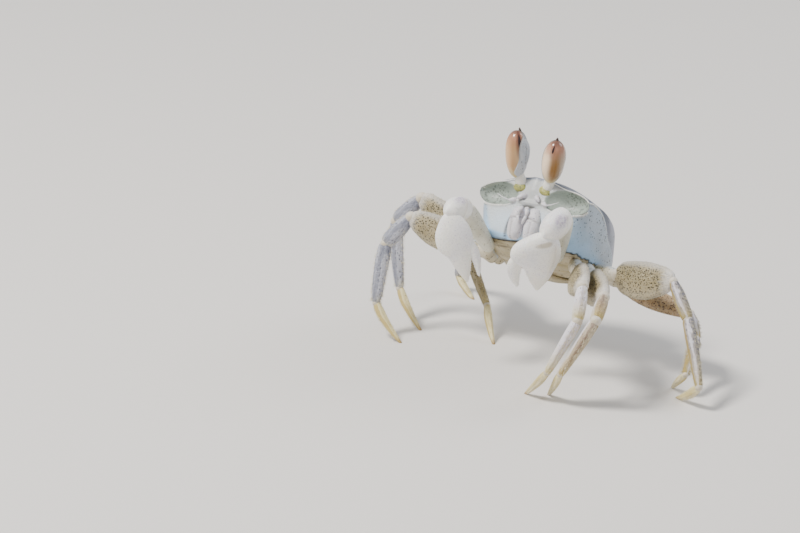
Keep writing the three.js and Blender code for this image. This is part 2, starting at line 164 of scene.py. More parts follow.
class Mesh:
    """Collects the parts of one piece: points, faces, and what its finish reads."""

    def __init__(self):
        self.points, self.faces, self.maps = [], [], []
        self.fields = {"spot": [], "run": [], "mark": []}
        self.count = 0

    def add(self, points, faces, maps=None, **fields):
        """Adds points and faces. The spot is the point itself and the rest zero unless given."""
        points = np.asarray(points, float).reshape(-1, 3)
        self.points.append(points)
        self.faces += [[i + self.count for i in face] for face in faces]
        self.count += len(points)
        for label, rows in self.fields.items():
            given = fields.get(label, points if label == "spot" else np.zeros(points.shape))
            rows.append(np.asarray(given, float).reshape(-1, 3))
        if maps is not None:
            self.maps.append(maps.reshape(-1, 2))

    def skin(self, place, grid, ends, run=None, mark=None):
        """A closed skin: rings of points in a piece's own axes, and a point at each end.

        The mark is given for the rings, or as a function of the run.
        """
        rows = np.concatenate([grid.reshape(-1, 3), ends])
        fields = {"spot": rows}
        if run is not None:
            fields["run"] = np.concatenate([run.reshape(-1, 3), [[0, 0, 0], [1, 0, 0]]])
        if callable(mark):
            fields["mark"] = mark(fields["run"])
        elif mark is not None:
            fields["mark"] = np.concatenate([mark.reshape(-1, 3), np.zeros((2, 3))])
        self.add(place.out(rows), grid_faces(*grid.shape[:2]), **fields)

    def build(self, name, finish, nodes=(), slot=None, map_name=None):
        points = np.concatenate(self.points)
        points[:, 2] = np.maximum(points[:, 2], 0.0)
        mesh = bpy.data.meshes.new(name)
        mesh.from_pydata((points * METRE).tolist(), [], self.faces)
        write_fields(mesh, {label: np.concatenate(rows) for label, rows in self.fields.items()})
        if map_name:
            layer = mesh.uv_layers.new(name=map_name)
            corner = np.empty(len(mesh.loops), int)
            mesh.loops.foreach_get("vertex_index", corner)
            uv = np.concatenate(self.maps)[corner].astype(np.float32)
            layer.data.foreach_set("uv", uv.ravel())
        set_on_frame(name, mesh, finish, nodes)


def ball(mesh, place, centre, half, rings, around):
    """An ellipsoid in a piece's own axes."""
    a = np.linspace(0, PI, rings + 2)[1:-1, None]
    b = np.linspace(0, 2 * PI, around, endpoint=False)[None, :]
    sphere = np.stack([np.sin(a) * np.sin(b), -np.cos(a) + 0 * b, np.sin(a) * np.cos(b)], -1)
    poles = vec([0, -1, 0], [0, 1, 0])
    mesh.skin(place, sphere * half + centre, poles * half + centre)


def rod(mesh, points, radii, around):
    """A tapered round rod through a line of points."""
    ways = np.gradient(points, axis=0)
    ways /= np.linalg.norm(ways, axis=1)[:, None]
    side = np.cross(ways, unit(ways[0] + vec(0.31, 0.17, 0.93)))
    side /= np.linalg.norm(side, axis=1)[:, None]
    other = np.cross(ways, side)
    a = np.linspace(0, 2 * PI, around, endpoint=False)
    ring = (side[:, None] * np.cos(a)[None, :, None] + other[:, None] * np.sin(a)[None, :, None])
    radii = np.asarray(radii)
    rings = points[:, None] + ring * radii[:, None, None]
    caps = points[[0, -1]] + ways[[0, -1]] * radii[[0, -1], None] * vec([-0.6], [0.6])
    mesh.skin(world_at(0, 0, 0), rings, caps)


def granules(mesh, points, sizes):
    """Small round beads set on the shell."""
    for point, s in zip(points, np.broadcast_to(sizes, len(points))):
        ball(mesh, world_at(0, 0, 0), point, vec(s, s, s), 4, 6)


HAIR_THICK = 0.055
HAIR_FACES = ([0, 1, 4, 3], [1, 2, 5, 4], [2, 0, 3, 5], [3, 4, 6], [4, 5, 6], [5, 3, 6], [2, 1, 0])
HAIR_RUN = vec(0, 0, 0, 0.5, 0.5, 0.5, 1)
HAIR_MAP = vec([0, 0], [1, 0], [0.5, 1], [0, 0.5], [1, 0.5], [0.5, 0.5], [0.5, 0.8])


def hairs(mesh, roots, ways, lengths, thick, maps):
    """Stiff hairs: three-sided, bent a little and drawn to a point."""
    n = len(roots)
    lengths = np.asarray(lengths)[:, None]
    ways = ways / np.linalg.norm(ways, axis=1)[:, None]
    side = np.cross(ways, rng.normal(size=(n, 3)))
    side /= np.linalg.norm(side, axis=1)[:, None]
    other = np.cross(ways, side)
    lean = side * rng.normal(0, 0.09, (n, 1)) + other * rng.normal(0, 0.09, (n, 1))
    rows = []
    for part, share in ((-0.12, 1.0), (0.5, 0.7)):
        middle = roots + ways * lengths * part + lean * lengths * part * part
        for a in (0, 2 * PI / 3, 4 * PI / 3):
            rows.append(middle + (side * math.cos(a) + other * math.sin(a)) * thick * share)
    rows.append(roots + ways * lengths + lean * lengths)
    base = np.arange(n)[:, None] * len(rows)
    faces = []
    for face in HAIR_FACES:
        faces += (base + np.array(face)).tolist()
    run = np.zeros((n, len(rows), 3))
    run[:, :, 0] = HAIR_RUN
    mesh.add(np.stack(rows, 1), faces, maps=maps[:, None, :] + 0.003 * HAIR_MAP[None], run=run)


# ---------- finishes ----------

def rgb(code):
    """A colour written as hex digits, as Blender's linear colour."""
    parts = [int(code[i:i + 2], 16) / 255 for i in (0, 2, 4)]
    return tuple(p / 12.92 if p <= 0.04045 else ((p + 0.055) / 1.055) ** 2.4 for p in parts) + (1,)


class Bench:
    """Puts nodes in one tree; an input is a number, a colour or another node's output."""

    def __init__(self, tree):
        self.tree = tree

    def link(self, source, target):
        self.tree.links.new(source, target)

    def node(self, kind, inputs=None, **settings):
        node = self.tree.nodes.new("ShaderNode" + kind)
        for key, value in settings.items():
            setattr(node, key, value)
        for key, value in (inputs or {}).items():
            if isinstance(value, bpy.types.NodeSocket):
                self.link(value, node.inputs[key])
            else:
                node.inputs[key].default_value = value
        return node

    def calc(self, operation, a, b=0.0):
        return self.node("Math", {0: a, 1: b}, operation=operation).outputs[0]

    def times(self, a, b):
        return self.calc("MULTIPLY", a, b)

    def plus(self, a, b):
        return self.calc("ADD", a, b)

    def minus(self, a, b):
        return self.calc("SUBTRACT", a, b)

    def far(self, a, b):
        """How far apart two values are."""
        return self.calc("ABSOLUTE", self.minus(a, b))

    def vectors(self, operation, vector, other):
        key = "Scale" if operation == "SCALE" else 1
        return self.node("VectorMath", {0: vector, key: other}, operation=operation).outputs[0]

    def mix(self, factor, a, b):
        return self.node("Mix", {0: factor, 6: a, 7: b}, data_type="RGBA").outputs[2]

    def rise(self, value, low, high, bottom=0.0, top=1.0):
        inputs = {"Value": value, "From Min": low, "From Max": high,
                  "To Min": bottom, "To Max": top}
        return self.node("MapRange", inputs, interpolation_type="SMOOTHSTEP").outputs[0]

    def split(self, vector):
        return self.node("SeparateXYZ", {0: vector}).outputs[:3]

    def read(self, name):
        return self.node("Attribute", attribute_name=name).outputs["Vector"]

    def noise(self, vector, scale, detail=2.0, rough=0.5):
        inputs = {"Vector": vector, "Scale": scale, "Detail": detail, "Roughness": rough}
        return self.node("TexNoise", inputs).outputs[0]

    def cells(self, vector, scale):
        return self.node("TexVoronoi", {"Vector": vector, "Scale": scale}).outputs

    def group(self, tree, inputs):
        """A shared group; node() sets its tree before it fills its inputs."""
        return self.node("Group", inputs, node_tree=tree).outputs


def new_group(name, takes, gives):
    """A shared group; its inputs and outputs are a label and v, c or f: vector, colour, value."""
    tree = bpy.data.node_groups.new(name, "ShaderNodeTree")
    kinds = {"v": "NodeSocketVector", "c": "NodeSocketColor", "f": "NodeSocketFloat"}
    for way, sockets in (("INPUT", takes), ("OUTPUT", gives)):
        for label, kind in sockets.items():
            tree.interface.new_socket(label, in_out=way, socket_type=kinds[kind])
    inner = tree.nodes.new("NodeGroupInput").outputs
    return Bench(tree), inner, tree.nodes.new("NodeGroupOutput").inputs


def speckles_group():
    """Dark dots of uneven size, one to a cell at most."""
    b, takes, gives = new_group(
        "shell_speckles", {"Vector": "v", "Size": "f", "Amount": "f", "Even": "f"}, {"Mask": "f"})
    at = b.vectors("SCALE", takes["Vector"], b.calc("DIVIDE", 1.0, takes["Size"]))
    drift = b.node("TexNoise", {"Vector": at, "Scale": 1.3, "Detail": 1.0}).outputs["Color"]
    cells = b.cells(b.vectors("ADD", at, b.vectors("SCALE", drift, 0.6)), 1.0)
    luck = b.rise(b.split(cells["Color"])[0], 0.05, 0.95, takes["Even"], 1.0)
    reach = b.times(luck, takes["Amount"])
    b.link(b.rise(cells["Distance"], b.times(reach, 0.55), reach, 1.0, 0.0), gives["Mask"])
    return b.tree


PORE_GREY = (0.35, 0.33, 0.32, 1)


def shell_group(speckles):
    """Shell colour: a ground, soft clouds of a second colour, dots, and a fine grain."""
    b, takes, gives = new_group(
        "shell_surface",
        {"Vector": "v", "Ground": "c", "Cloud": "c", "Cloud Size": "f", "Dot": "c", "Dot Size": "f",
         "Dot Amount": "f", "Dot Even": "f", "Grain Size": "f"},
        {"Color": "c", "Roughness": "f", "Height": "f"})
    at = takes["Vector"]
    cloud = b.noise(at, b.calc("DIVIDE", 1.0, takes["Cloud Size"]), 3.0, 0.55)
    color = b.mix(b.rise(cloud, 0.35, 0.68), takes["Ground"], takes["Cloud"])
    dots = b.group(speckles, {"Vector": at, "Size": takes["Dot Size"],
                              "Amount": takes["Dot Amount"],
                              "Even": takes["Dot Even"]})
    color = b.mix(dots["Mask"], color, takes["Dot"])
    grain = b.cells(at, b.calc("DIVIDE", 1.0, takes["Grain Size"]))
    bump = b.rise(grain["Distance"], 0.0, 0.75, 1.0, 0.0)
    rough = b.noise(at, 3.1, 3.0, 0.6)
    color = b.mix(b.times(b.rise(bump, 0.25, 0.0), 0.12), color, PORE_GREY)
    b.link(color, gives["Color"])
    b.link(b.rise(rough, 0.2, 0.8, 0.36, 0.55), gives["Roughness"])
    b.link(b.plus(b.times(bump, 0.6), b.times(rough, 0.4)), gives["Height"])
    return b.tree


def ends_group():
    """Tints a limb piece at its far end and along its upper and lower edges."""
    b, takes, gives = new_group(
        "limb_ends",
        {"Color": "c", "Run": "v", "End": "c", "End Amount": "f", "Upper": "c",
         "Upper Amount": "f", "Lower": "c", "Lower Amount": "f"}, {"Color": "c"})
    along, edge, _ = b.split(takes["Run"])
    wobble = b.noise(takes["Run"], 9.0, 2.0)
    color = takes["Color"]
    for label, mask in (("Upper", b.rise(edge, 0.6, 0.97)), ("Lower", b.rise(edge, -0.35, -0.95)),
                        ("End", b.rise(b.plus(along, b.times(wobble, 0.2)), 0.9, 1.08))):
        color = b.mix(b.times(mask, takes[label + " Amount"]), color, takes[label])
    b.link(color, gives["Color"])
    return b.tree


SPECKLES = speckles_group()
SHELL = shell_group(SPECKLES)
ENDS = ends_group()


def start_finish(name, roughness=0.4, glow_through=0.12, coat=0.0):
    material = bpy.data.materials.new(name)
    material.use_nodes = True
    shader = material.node_tree.nodes["Principled BSDF"]
    for label, value in (("Roughness", roughness), ("Subsurface Weight", glow_through),
                         ("Subsurface Radius", (1.0, 0.75, 0.5)), ("Subsurface Scale", 0.0012),
                         ("Coat Weight", coat), ("Coat Roughness", 0.15)):
        shader.inputs[label].default_value = value
    return material, Bench(material.node_tree), shader


def close_finish(b, shader, color, roughness=None, height=None, bump=0.0, depth=0.0):
    b.link(color, shader.inputs["Base Color"])
    if roughness is not None:
        b.link(roughness, shader.inputs["Roughness"])
    if height is not None:
        raised = b.node("Bump", {"Height": height, "Strength": bump, "Distance": depth})
        b.link(raised.outputs[0], shader.inputs["Normal"])


def limb_finish(name, ground, cloud, dot, dot_size=0.5, dot_amount=0.6, cloud_size=6.0, grain=0.7,
                end=(), upper=(), lower=(), bump=0.5, depth=0.0002, stretch=(1, 1, 1), striae=0.0,
                even=0.1, mottle=(), bands=(), dull="54452c", wash=()):
    """Finish of a limb piece. End, upper, lower, mottle and wash are a colour and its strength.

    Bands run lengthwise: the angle of the middle, the half width, a colour and its strength.
    """
    material, b, shader = start_finish(name)
    spot, run = b.read("spot"), b.read("run")
    shell = b.group(SHELL, {
        "Vector": b.vectors("MULTIPLY", spot, stretch), "Ground": rgb(ground), "Cloud": rgb(cloud),
        "Cloud Size": cloud_size, "Dot": rgb(dot), "Dot Size": dot_size, "Dot Amount": dot_amount,
        "Dot Even": even, "Grain Size": grain})
    tints = {"Color": shell["Color"], "Run": run}
    for label, pair in (("End", end), ("Upper", upper), ("Lower", lower)):
        if pair:
            tints[label] = rgb(pair[0])
        tints[label + " Amount"] = pair[1] if pair else 0.0
    color = b.group(ENDS, tints)["Color"]
    pale, dark, tinted = b.split(b.read("mark"))
    along, up, side = b.split(run)
    if mottle:
        streaks = b.vectors("MULTIPLY", spot, (1.0, 0.22, 1.0))
        patch = b.rise(b.noise(streaks, 0.75, 3.0, 0.6), 0.5, 0.66)
        color = b.mix(b.times(patch, mottle[1]), color, rgb(mottle[0]))
    if bands:
        drawn = b.vectors("MULTIPLY", spot, (1.0, 0.3, 1.0))
        ragged = b.minus(b.noise(drawn, 1.1, 3.0, 0.6), 0.5)
        angle = b.plus(b.calc("ARCTAN2", side, up), b.times(ragged, 1.3))
        for middle, half, code, amount in bands:
            mask = b.rise(b.far(angle, middle), half * 1.15, half * 0.6)
            color = b.mix(b.times(mask, amount), color, rgb(code))
    if wash:
        color = b.mix(b.rise(along, 0.35, 0.95, 0.0, wash[1]), color, rgb(wash[0]))
    patchy = b.rise(b.noise(spot, 1.3, 3.0, 0.6), 0.38, 0.6, 0.25, 1.0)
    color = b.mix(b.times(tinted, patchy), color, rgb("ab9ab3"))
    color = b.mix(pale, color, rgb("f1ece0"))
    color = b.mix(dark, color, rgb(dull))
    height = shell["Height"]
    if striae:
        lines = b.node("TexWave", {
            "Vector": spot, "Scale": striae, "Distortion": 5.0, "Detail": 2.0, "Detail Scale": 1.6},
            bands_direction="Y")
        height = b.plus(height, b.times(lines.outputs["Fac"], 0.6))
    close_finish(b, shader, color, shell["Roughness"], height, bump, depth)
    return material


def body_finish(name, wall, crown):
    """Finish of the body shell, whose marks follow the hollow, the seams and the beads."""
    material, b, shader = start_finish(name, glow_through=0.1, coat=0.08)
    spot = b.read("spot")
    around, length, rim = b.split(b.read("run"))
    hollow, dark, pale = b.split(b.read("mark"))
    side = b.group(SHELL, dict(wall, Vector=spot))
    top = b.group(SHELL, dict(crown, Vector=spot))
    # Painted shade: the lower side wall is washed strong blue, standing in for blue skylight on the
    # shaded wall.
    low = b.rise(b.plus(around, b.times(b.noise(spot, 0.25), 0.08)), 0.52, 0.76)
    wall_with_painted_sky_shade = b.mix(b.times(low, 0.9), side["Color"], rgb("b0d6fa"))
    rear_band = b.times(b.rise(b.noise(spot, 0.16, 3.0), 0.45, 0.62), 0.5)
    crown_color = b.mix(rear_band, top["Color"], rgb("9b97a6"))
    crown_color = b.mix(b.times(b.rise(length, 0.84, 0.99), 0.8), crown_color, rgb("646b79"))
    # Dark strip along the crown's outer edge: partly the dark rim's own colour, partly painted
    # shade of the crown seen edge-on.
    strip = b.times(b.rise(around, 0.3, 0.36), b.rise(length, 0.15, 0.75))
    crown_color = b.mix(b.times(strip, 0.95), crown_color, rgb("555c69"))
    color = b.mix(b.rise(around, 0.395, 0.385), wall_with_painted_sky_shade, crown_color)
    face = b.rise(rim, 0.97, 0.86)
    color = b.mix(b.times(face, 0.6), color, rgb("dadbd6"))
    spots = b.group(SPECKLES, {"Vector": spot, "Size": 0.62, "Amount": 0.8})
    outer = b.rise(b.calc("ABSOLUTE", b.split(spot)[0]), 7.5, 11.0)
    dotted = b.times(b.times(spots["Mask"], outer), 0.75)
    color = b.mix(b.times(hollow, 0.8), color, b.mix(dotted, rgb("939f93"), rgb("3a4637")))
    color = b.mix(pale, color, rgb("f3f1ea"))
    color = b.mix(dark, color, rgb("46443f"))
    close_finish(b, shader, color, side["Roughness"], side["Height"], 0.35, 0.0002)
    return material


# The side wall's grey is tinted blue as painted shade, for the skylight on the shaded wall.
SHELL_WALL_SKY_SHADED = {"Ground": rgb("adb9c5"), "Cloud": rgb("9dabb9"), "Cloud Size": 5.0,
              "Dot": rgb("474c51"), "Dot Size": 0.62, "Dot Amount": 0.42, "Dot Even": 0.0,
              "Grain Size": 0.55}
SHELL_CROWN = {"Ground": rgb("b1b6c3"), "Cloud": rgb("9ba0ae"), "Cloud Size": 4.5,
               "Dot": rgb("6e6a70"),
               "Dot Size": 0.9, "Dot Amount": 0.4, "Dot Even": 0.0, "Grain Size": 0.6}
BODY_SHELL = body_finish("carapace_shell_pale", SHELL_WALL_SKY_SHADED, SHELL_CROWN)
# Underside darkened to tan: partly sand colour, partly painted shade under the body.
UNDER_SAND_AND_SHADE = limb_finish("underside_sand_and_painted_shade", "b8ad90", "a3966f", "6f6448", 1.0, 0.35, 6.0, 0.8)
CLAW_SHELL = limb_finish("claw_ivory", "f9f6ee", "efedee", "d8d0da", 0.65, 0.34, 7.0, 0.5,
                         end=("fbf8f1", 0.6), bump=0.4, dull="9c8450")
CLAW_ARM = limb_finish("claw_arm_ivory", "dcdacb", "cdcab6", "8e876c", 0.6, 0.35, 5.0, 0.6,
                       end=("e9e6dc", 0.5), striae=0.5)
MERUS_SAND = limb_finish("merus_sand_dotted", "a39674", "8c7f5b", "362f1c", 0.5, 0.6, 5.0, 0.5,
                         end=("ddd8d2", 0.7), upper=("d0cbc4", 0.55), lower=("c9c0a8", 0.3),
                         stretch=(1.0, 0.8, 1.0), striae=0.55, even=0.6)
MERUS_RUST = limb_finish("merus_rust_dotted", "ad9069", "97805c", "45311e", 0.5, 0.58, 4.0, 0.5,
                         end=("b59b88", 0.6), upper=("cdbfae", 0.5), striae=0.55, even=0.45)
LOWER = {"stretch": (1.0, 0.5, 1.0), "striae": 0.8, "bump": 0.8, "depth": 0.0003}
LOWER_LILAC = limb_finish(
    "lower_leg_lilac", "f7f4f9", "ece6ee", "9a8ea3", 0.6, 0.3, 5.0, 0.5,
    end=("c9b872", 0.85), wash=("d8c985", 0.55),
    bands=((-1.5, 0.6, "d8c78c", 0.8), (1.6, 0.5, "f8f5fb", 0.7), (0.15, 0.28, "ac9793", 0.4)),
    **LOWER)
LOWER_TAN = limb_finish(
    "lower_leg_tan", "d3c6b2", "bfab8e", "7d6c5a", 0.55, 0.4, 4.0, 0.5,
    end=("bba862", 0.85), wash=("bfa862", 0.5),
    bands=((-1.3, 0.8, "b09c6e", 0.75), (1.6, 0.55, "f2eef4", 0.85), (0.3, 0.36, "866b60", 0.6)),
    **LOWER)
LOWER_GREY = limb_finish(
    "lower_leg_grey", "c1b9b6", "a69f9d", "665f66", 0.55, 0.4, 4.0, 0.5,
    end=("b5a35e", 0.75), wash=("b5a25e", 0.4),
    bands=((2.1, 0.5, "ab9450", 0.9), (0.95, 0.3, "f0ecf5", 0.8), (-0.15, 0.5, "666670", 0.75)),
    **LOWER)
LOWER_BLUE = limb_finish(
    "lower_leg_blue_grey", "bfc0cb", "a5a8b6", "5f6170", 0.55, 0.4, 4.0, 0.5, end=("d2cbae", 0.5),
    mottle=("6f7283", 0.6),
    bands=((0.0, 0.4, "dfdee6", 0.6), (1.5, 0.4, "777a8a", 0.6), (-1.5, 0.4, "777a8a", 0.6)),
    **LOWER)
LOWER_OLIVE = limb_finish(
    "lower_leg_olive", "b8a984", "a39468", "5c5238", 0.5, 0.4, 4.0, 0.5, end=("c2b274", 0.5),
    bands=((1.6, 0.45, "7c7866", 0.7), (-1.5, 0.35, "8a7b50", 0.7)), **LOWER)
TOE_YELLOW = limb_finish(
    "toe_yellow_cream", "ddd2a0", "cdbd84", "a8975f", 0.7, 0.25, 4.0, 0.5, end=("8b6836", 0.85),
    upper=("e9e2c4", 0.4), bands=((-1.4, 0.5, "b59d55", 0.7), (1.4, 0.4, "c2ae6c", 0.5)))
LOWER_LEGS = {("left", 2): LOWER_LILAC, ("left", 3): LOWER_TAN, ("right", 4): LOWER_OLIVE,
              ("left", 4): LOWER_GREY, ("left", 5): LOWER_GREY}
# Leg roots in sand colour, with a painted blue highlight along their upper edge.
ROOT_SAND = limb_finish("leg_root_sand", "cdc6b4", "b6ab8d", "6b6046", 0.7, 0.5, 4.0, 0.6,
                        upper=("b9c9da", 0.5))
SOFT_SKIN = limb_finish("joint_skin_cream", "d9d2c6", "cbc0aa", "b6a46f", 0.8, 0.2, 3.0, 0.5)
STALK_SHELL = limb_finish("eyestalk_grey", "c3c5c9", "aeb2b8", "8c8a80", 0.7, 0.25, 3.0, 0.5,
                          end=("4a3d38", 1.0))
PLATE_SHELL = limb_finish("eye_plate_grey", "c3c5c9", "aeb2b8", "6c6f74", 0.7, 0.35, 3.0, 0.5,
                          end=("5a4f50", 0.9))
OLIVE_SKIN = limb_finish("eye_base_olive", "bdb768", "8f8f45", "5d6236", 0.6, 0.5, 2.0, 0.4)
MOUTH_SHELL = limb_finish("mouth_plate_white", "dedbe0", "cfccd2", "9a93a4", 0.8, 0.3, 3.0, 0.5)
BEAD_SHELL = limb_finish("bead_white", "f4f2ec", "e9e7e2", "d2cfc8", 1.0, 0.1, 3.0, 0.4)


def hair_finish():
    material, b, shader = start_finish("stiff_hair_straw", 0.5, 0.0)
    along = b.split(b.read("run"))[0]
    close_finish(b, shader, b.mix(along, rgb("d6cba6"), rgb("f3edda")))
    return material


HAIR = hair_finish()


def eye_finish(name, streak):
    """Cornea: rosy top, ochre band towards the front, paler flanks painted one lit and one in
    shade, and a dark slit.
    """
    material, b, shader = start_finish(name, 0.2, 0.1, 0.35)
    high, turn, _ = b.split(b.read("run"))
    spot = b.read("spot")
    middle = streak["band"]
    drift = b.times(b.noise(spot, 0.5, 2.0), 0.16)
    high_soft = b.plus(high, b.minus(drift, 0.08))
    # Painted light: one flank of the cornea is painted lit and pale, the other painted in shade and
    # darker.
    low_side, high_side = (rgb(code) for code in streak["lit_and_shaded_flanks"])
    color = b.mix(b.rise(turn, middle - 0.12, middle + 0.16), low_side, high_side)
    color = b.mix(b.rise(high_soft, 0.3, 0.02), color, rgb("e2cf9c"))
    band = b.times(b.rise(b.far(turn, middle), 0.24, 0.03), b.rise(high_soft, 0.96, 0.8))
    band = b.times(band, b.rise(high_soft, 0.0, 0.35, 0.25, 1.0))
    color = b.mix(b.times(band, streak["ochre"]), color, rgb("8a5c16"))
    color = b.mix(b.rise(high_soft, 0.6, 0.98), color, rgb("a8735b"))
    color = b.mix(b.times(b.rise(high, 0.9, 1.0), 0.8), color, rgb("5d4036"))
    across = b.calc("DIVIDE", b.minus(turn, streak["turn"]), streak["wide"])
    up_down = b.calc("DIVIDE", b.minus(high, streak["high"]), streak["long"])
    away = b.plus(b.times(across, across), b.times(up_down, up_down))
    color = b.mix(b.times(b.rise(away, 9.0, 0.8), streak["shade"]), color, rgb("5b3026"))
    color = b.mix(b.rise(away, 1.2, 0.55), color, rgb("2b1512"))
    close_finish(b, shader, color, None, b.cells(spot, 5.0)["Distance"], 0.08, 0.00005)
    return material


# ---------- body shell ----------

tilt, roll = math.radians(37), math.radians(-3)
forward = vec(0, -math.cos(tilt), math.sin(tilt))
level_up = vec(0, math.sin(tilt), math.cos(tilt))
to_right = vec(-math.cos(roll), 0, 0) + level_up * math.sin(roll)
BODY = Place(vec(-6.0, 11.9, 38.2), to_right, forward, np.cross(to_right, forward))

REAR, FRONT = -0.44, 0.42
MARGIN_OUT = [0.26, 0.385, 0.445, 0.485, 0.505, 0.515, 0.518, 0.515, 0.505, 0.46]
MARGIN_UP = [-0.31, -0.25, -0.18, -0.115, -0.07, -0.045, -0.03, -0.028, -0.035, -0.06]
TOP_UP = [-0.24, -0.125, -0.045, 0.012, 0.05, 0.075, 0.092, 0.1, 0.1, 0.075]
FOOT_OUT = [0.2, 0.36, 0.41, 0.43, 0.44, 0.45, 0.445, 0.43, 0.4, 0.34]
FOOT_UP = [-0.37, -0.41, -0.435, -0.45, -0.455, -0.455, -0.45, -0.44, -0.425, -0.4]
KEEL_UP = [-0.39, -0.46, -0.5, -0.52, -0.53, -0.53, -0.52, -0.5, -0.475, -0.44]
SEAM_UP, SEAM_SLOPE = -0.415, math.radians(5)
ORBIT_AT, ORBIT_HALF, ORBIT_SWEEP = vec(0.32, 0.475, -0.09), vec(0.215, 0.15, 0.105), 17
AROUND = 240
SIDE_RINGS, FRONT_RINGS, REAR_RINGS = 120, 64, 20
FRONT_EDGE = REAR_RINGS + SIDE_RINGS - 1
MARGIN_TURN, FOOT_TURN = 0.4, 0.7   # shares of the way from the crown to the keel


def body_ring(t, turn):
    """Half breadth and height of the skin at a station, from the crown (0) to the keel (1)."""
    out, edge = between(MARGIN_OUT, t), between(MARGIN_UP, t)
    foot_out, foot_up = between(FOOT_OUT, t), between(FOOT_UP, t)
    crown, keel = between(TOP_UP, t) - edge, between(KEEL_UP, t)
    a = np.clip(turn / MARGIN_TURN, 0, 1)
    b = np.clip((turn - MARGIN_TURN) / (FOOT_TURN - MARGIN_TURN), 0, 1)
    c = np.clip((turn - FOOT_TURN) / (1 - FOOT_TURN), 0, 1)
    bulge = (0.05 - 0.028 * t) * np.sin(PI * b)
    wall_x = out + (foot_out - out) * b + bulge
    wall_z = edge + (foot_up - edge) * b
    on_crown, on_wall = turn <= MARGIN_TURN, turn <= FOOT_TURN
    x = np.where(on_crown, out * a, np.where(on_wall, wall_x, foot_out * np.cos(c * PI / 2)))
    z = np.where(on_crown, edge + crown * (1 - a ** 2.1),
                 np.where(on_wall, wall_z, foot_up + (keel - foot_up) * c ** 0.8))
    return x, z


def groove(x, y, line, width):
    """How near each point is to a bent line, 1 on it and 0 away from it."""
    near = np.full(np.shape(x), 9.0)
    for (ax, ay), (bx, by) in zip(line[:-1], line[1:]):
        ex, ey = bx - ax, by - ay
        s = np.clip(((x - ax) * ex + (y - ay) * ey) / (ex * ex + ey * ey), 0, 1)
        near = np.minimum(near, np.hypot(x - ax - s * ex, y - ay - s * ey))
    return np.exp(-(near / width) ** 2)


CROWN_GROOVES = [
    [(0.1, 0.3), (0.13, 0.2), (0.16, 0.1), (0.13, 0.02), (0.11, -0.05)],
    [(0.11, -0.05), (0.15, -0.13), (0.16, -0.22)],
    [(-0.11, -0.05), (0, -0.075), (0.11, -0.05)],
    [(0.16, 0.1), (0.27, 0.16), (0.38, 0.15)],
]


def soften(part, strength, rounds):
    """Evens out neighbouring rings of points, in place."""
    for _ in range(rounds):
        part[1:-1] += strength * (0.5 * (part[:-2] + part[2:]) - part[1:-1])


def body_grid():
    angle = np.arange(AROUND) * 2 * PI / AROUND
    angle = np.where(angle > PI, angle - 2 * PI, angle)
    turn = np.abs(angle) / PI
    sign = np.where(angle < 0, -1.0, 1.0)
    stations = [(0.0, j / REAR_RINGS) for j in range(1, REAR_RINGS)]
    stations += [(j / SIDE_RINGS, 1.0) for j in range(SIDE_RINGS + 1)]
    stations += [(1.0, 1 - j / FRONT_RINGS) for j in range(1, FRONT_RINGS)]
    t, rim = np.array(stations).T[:, :, None]
    out, high = body_ring(t, turn[None, :])
    middle = (between(TOP_UP, t) + between(KEEL_UP, t)) / 2
    x, z = rim * sign * out, middle + rim * (high - middle)
    dome = (1 - rim ** 2) * np.where(t > 0.5, 0.02, -0.012)
    y = REAR + (FRONT - REAR) * t + 0.1 * t * t * (z + 0.1) + dome
    grid = np.stack([x, y, z], -1)
    below_margin = (0.04 + 0.96 * step(turn, 0.42, 0.5))[None, :, None]
    soften(grid[FRONT_EDGE - 18:FRONT_EDGE + 19], 0.5 * below_margin, 60)
    soften(grid[REAR_RINGS - 14:REAR_RINGS + 13], 0.4, 30)
    poles = vec([0, REAR - 0.012, float(middle[0, 0])], [0, FRONT + 0.03, float(middle[-1, 0])])
    run = np.stack(np.broadcast_arrays(turn[None, :], t, rim), -1)
    return grid, run, poles


def orbit_reach(p, sign):
    """Where points lie in an orbit's own axes, and how far out they are: its rim is at 1."""
    a = math.radians(sign * ORBIT_SWEEP)
    d = p - ORBIT_AT * vec(-sign, 1, 1)
    along = (d[..., 0] * math.cos(a) + d[..., 1] * math.sin(a)) / ORBIT_HALF[0]
    deep = (-d[..., 0] * math.sin(a) + d[..., 1] * math.cos(a)) / ORBIT_HALF[1]
    high = d[..., 2] / ORBIT_HALF[2]
    return d, along, deep, high, np.sqrt(along ** 2 + deep ** 2 + high ** 2)


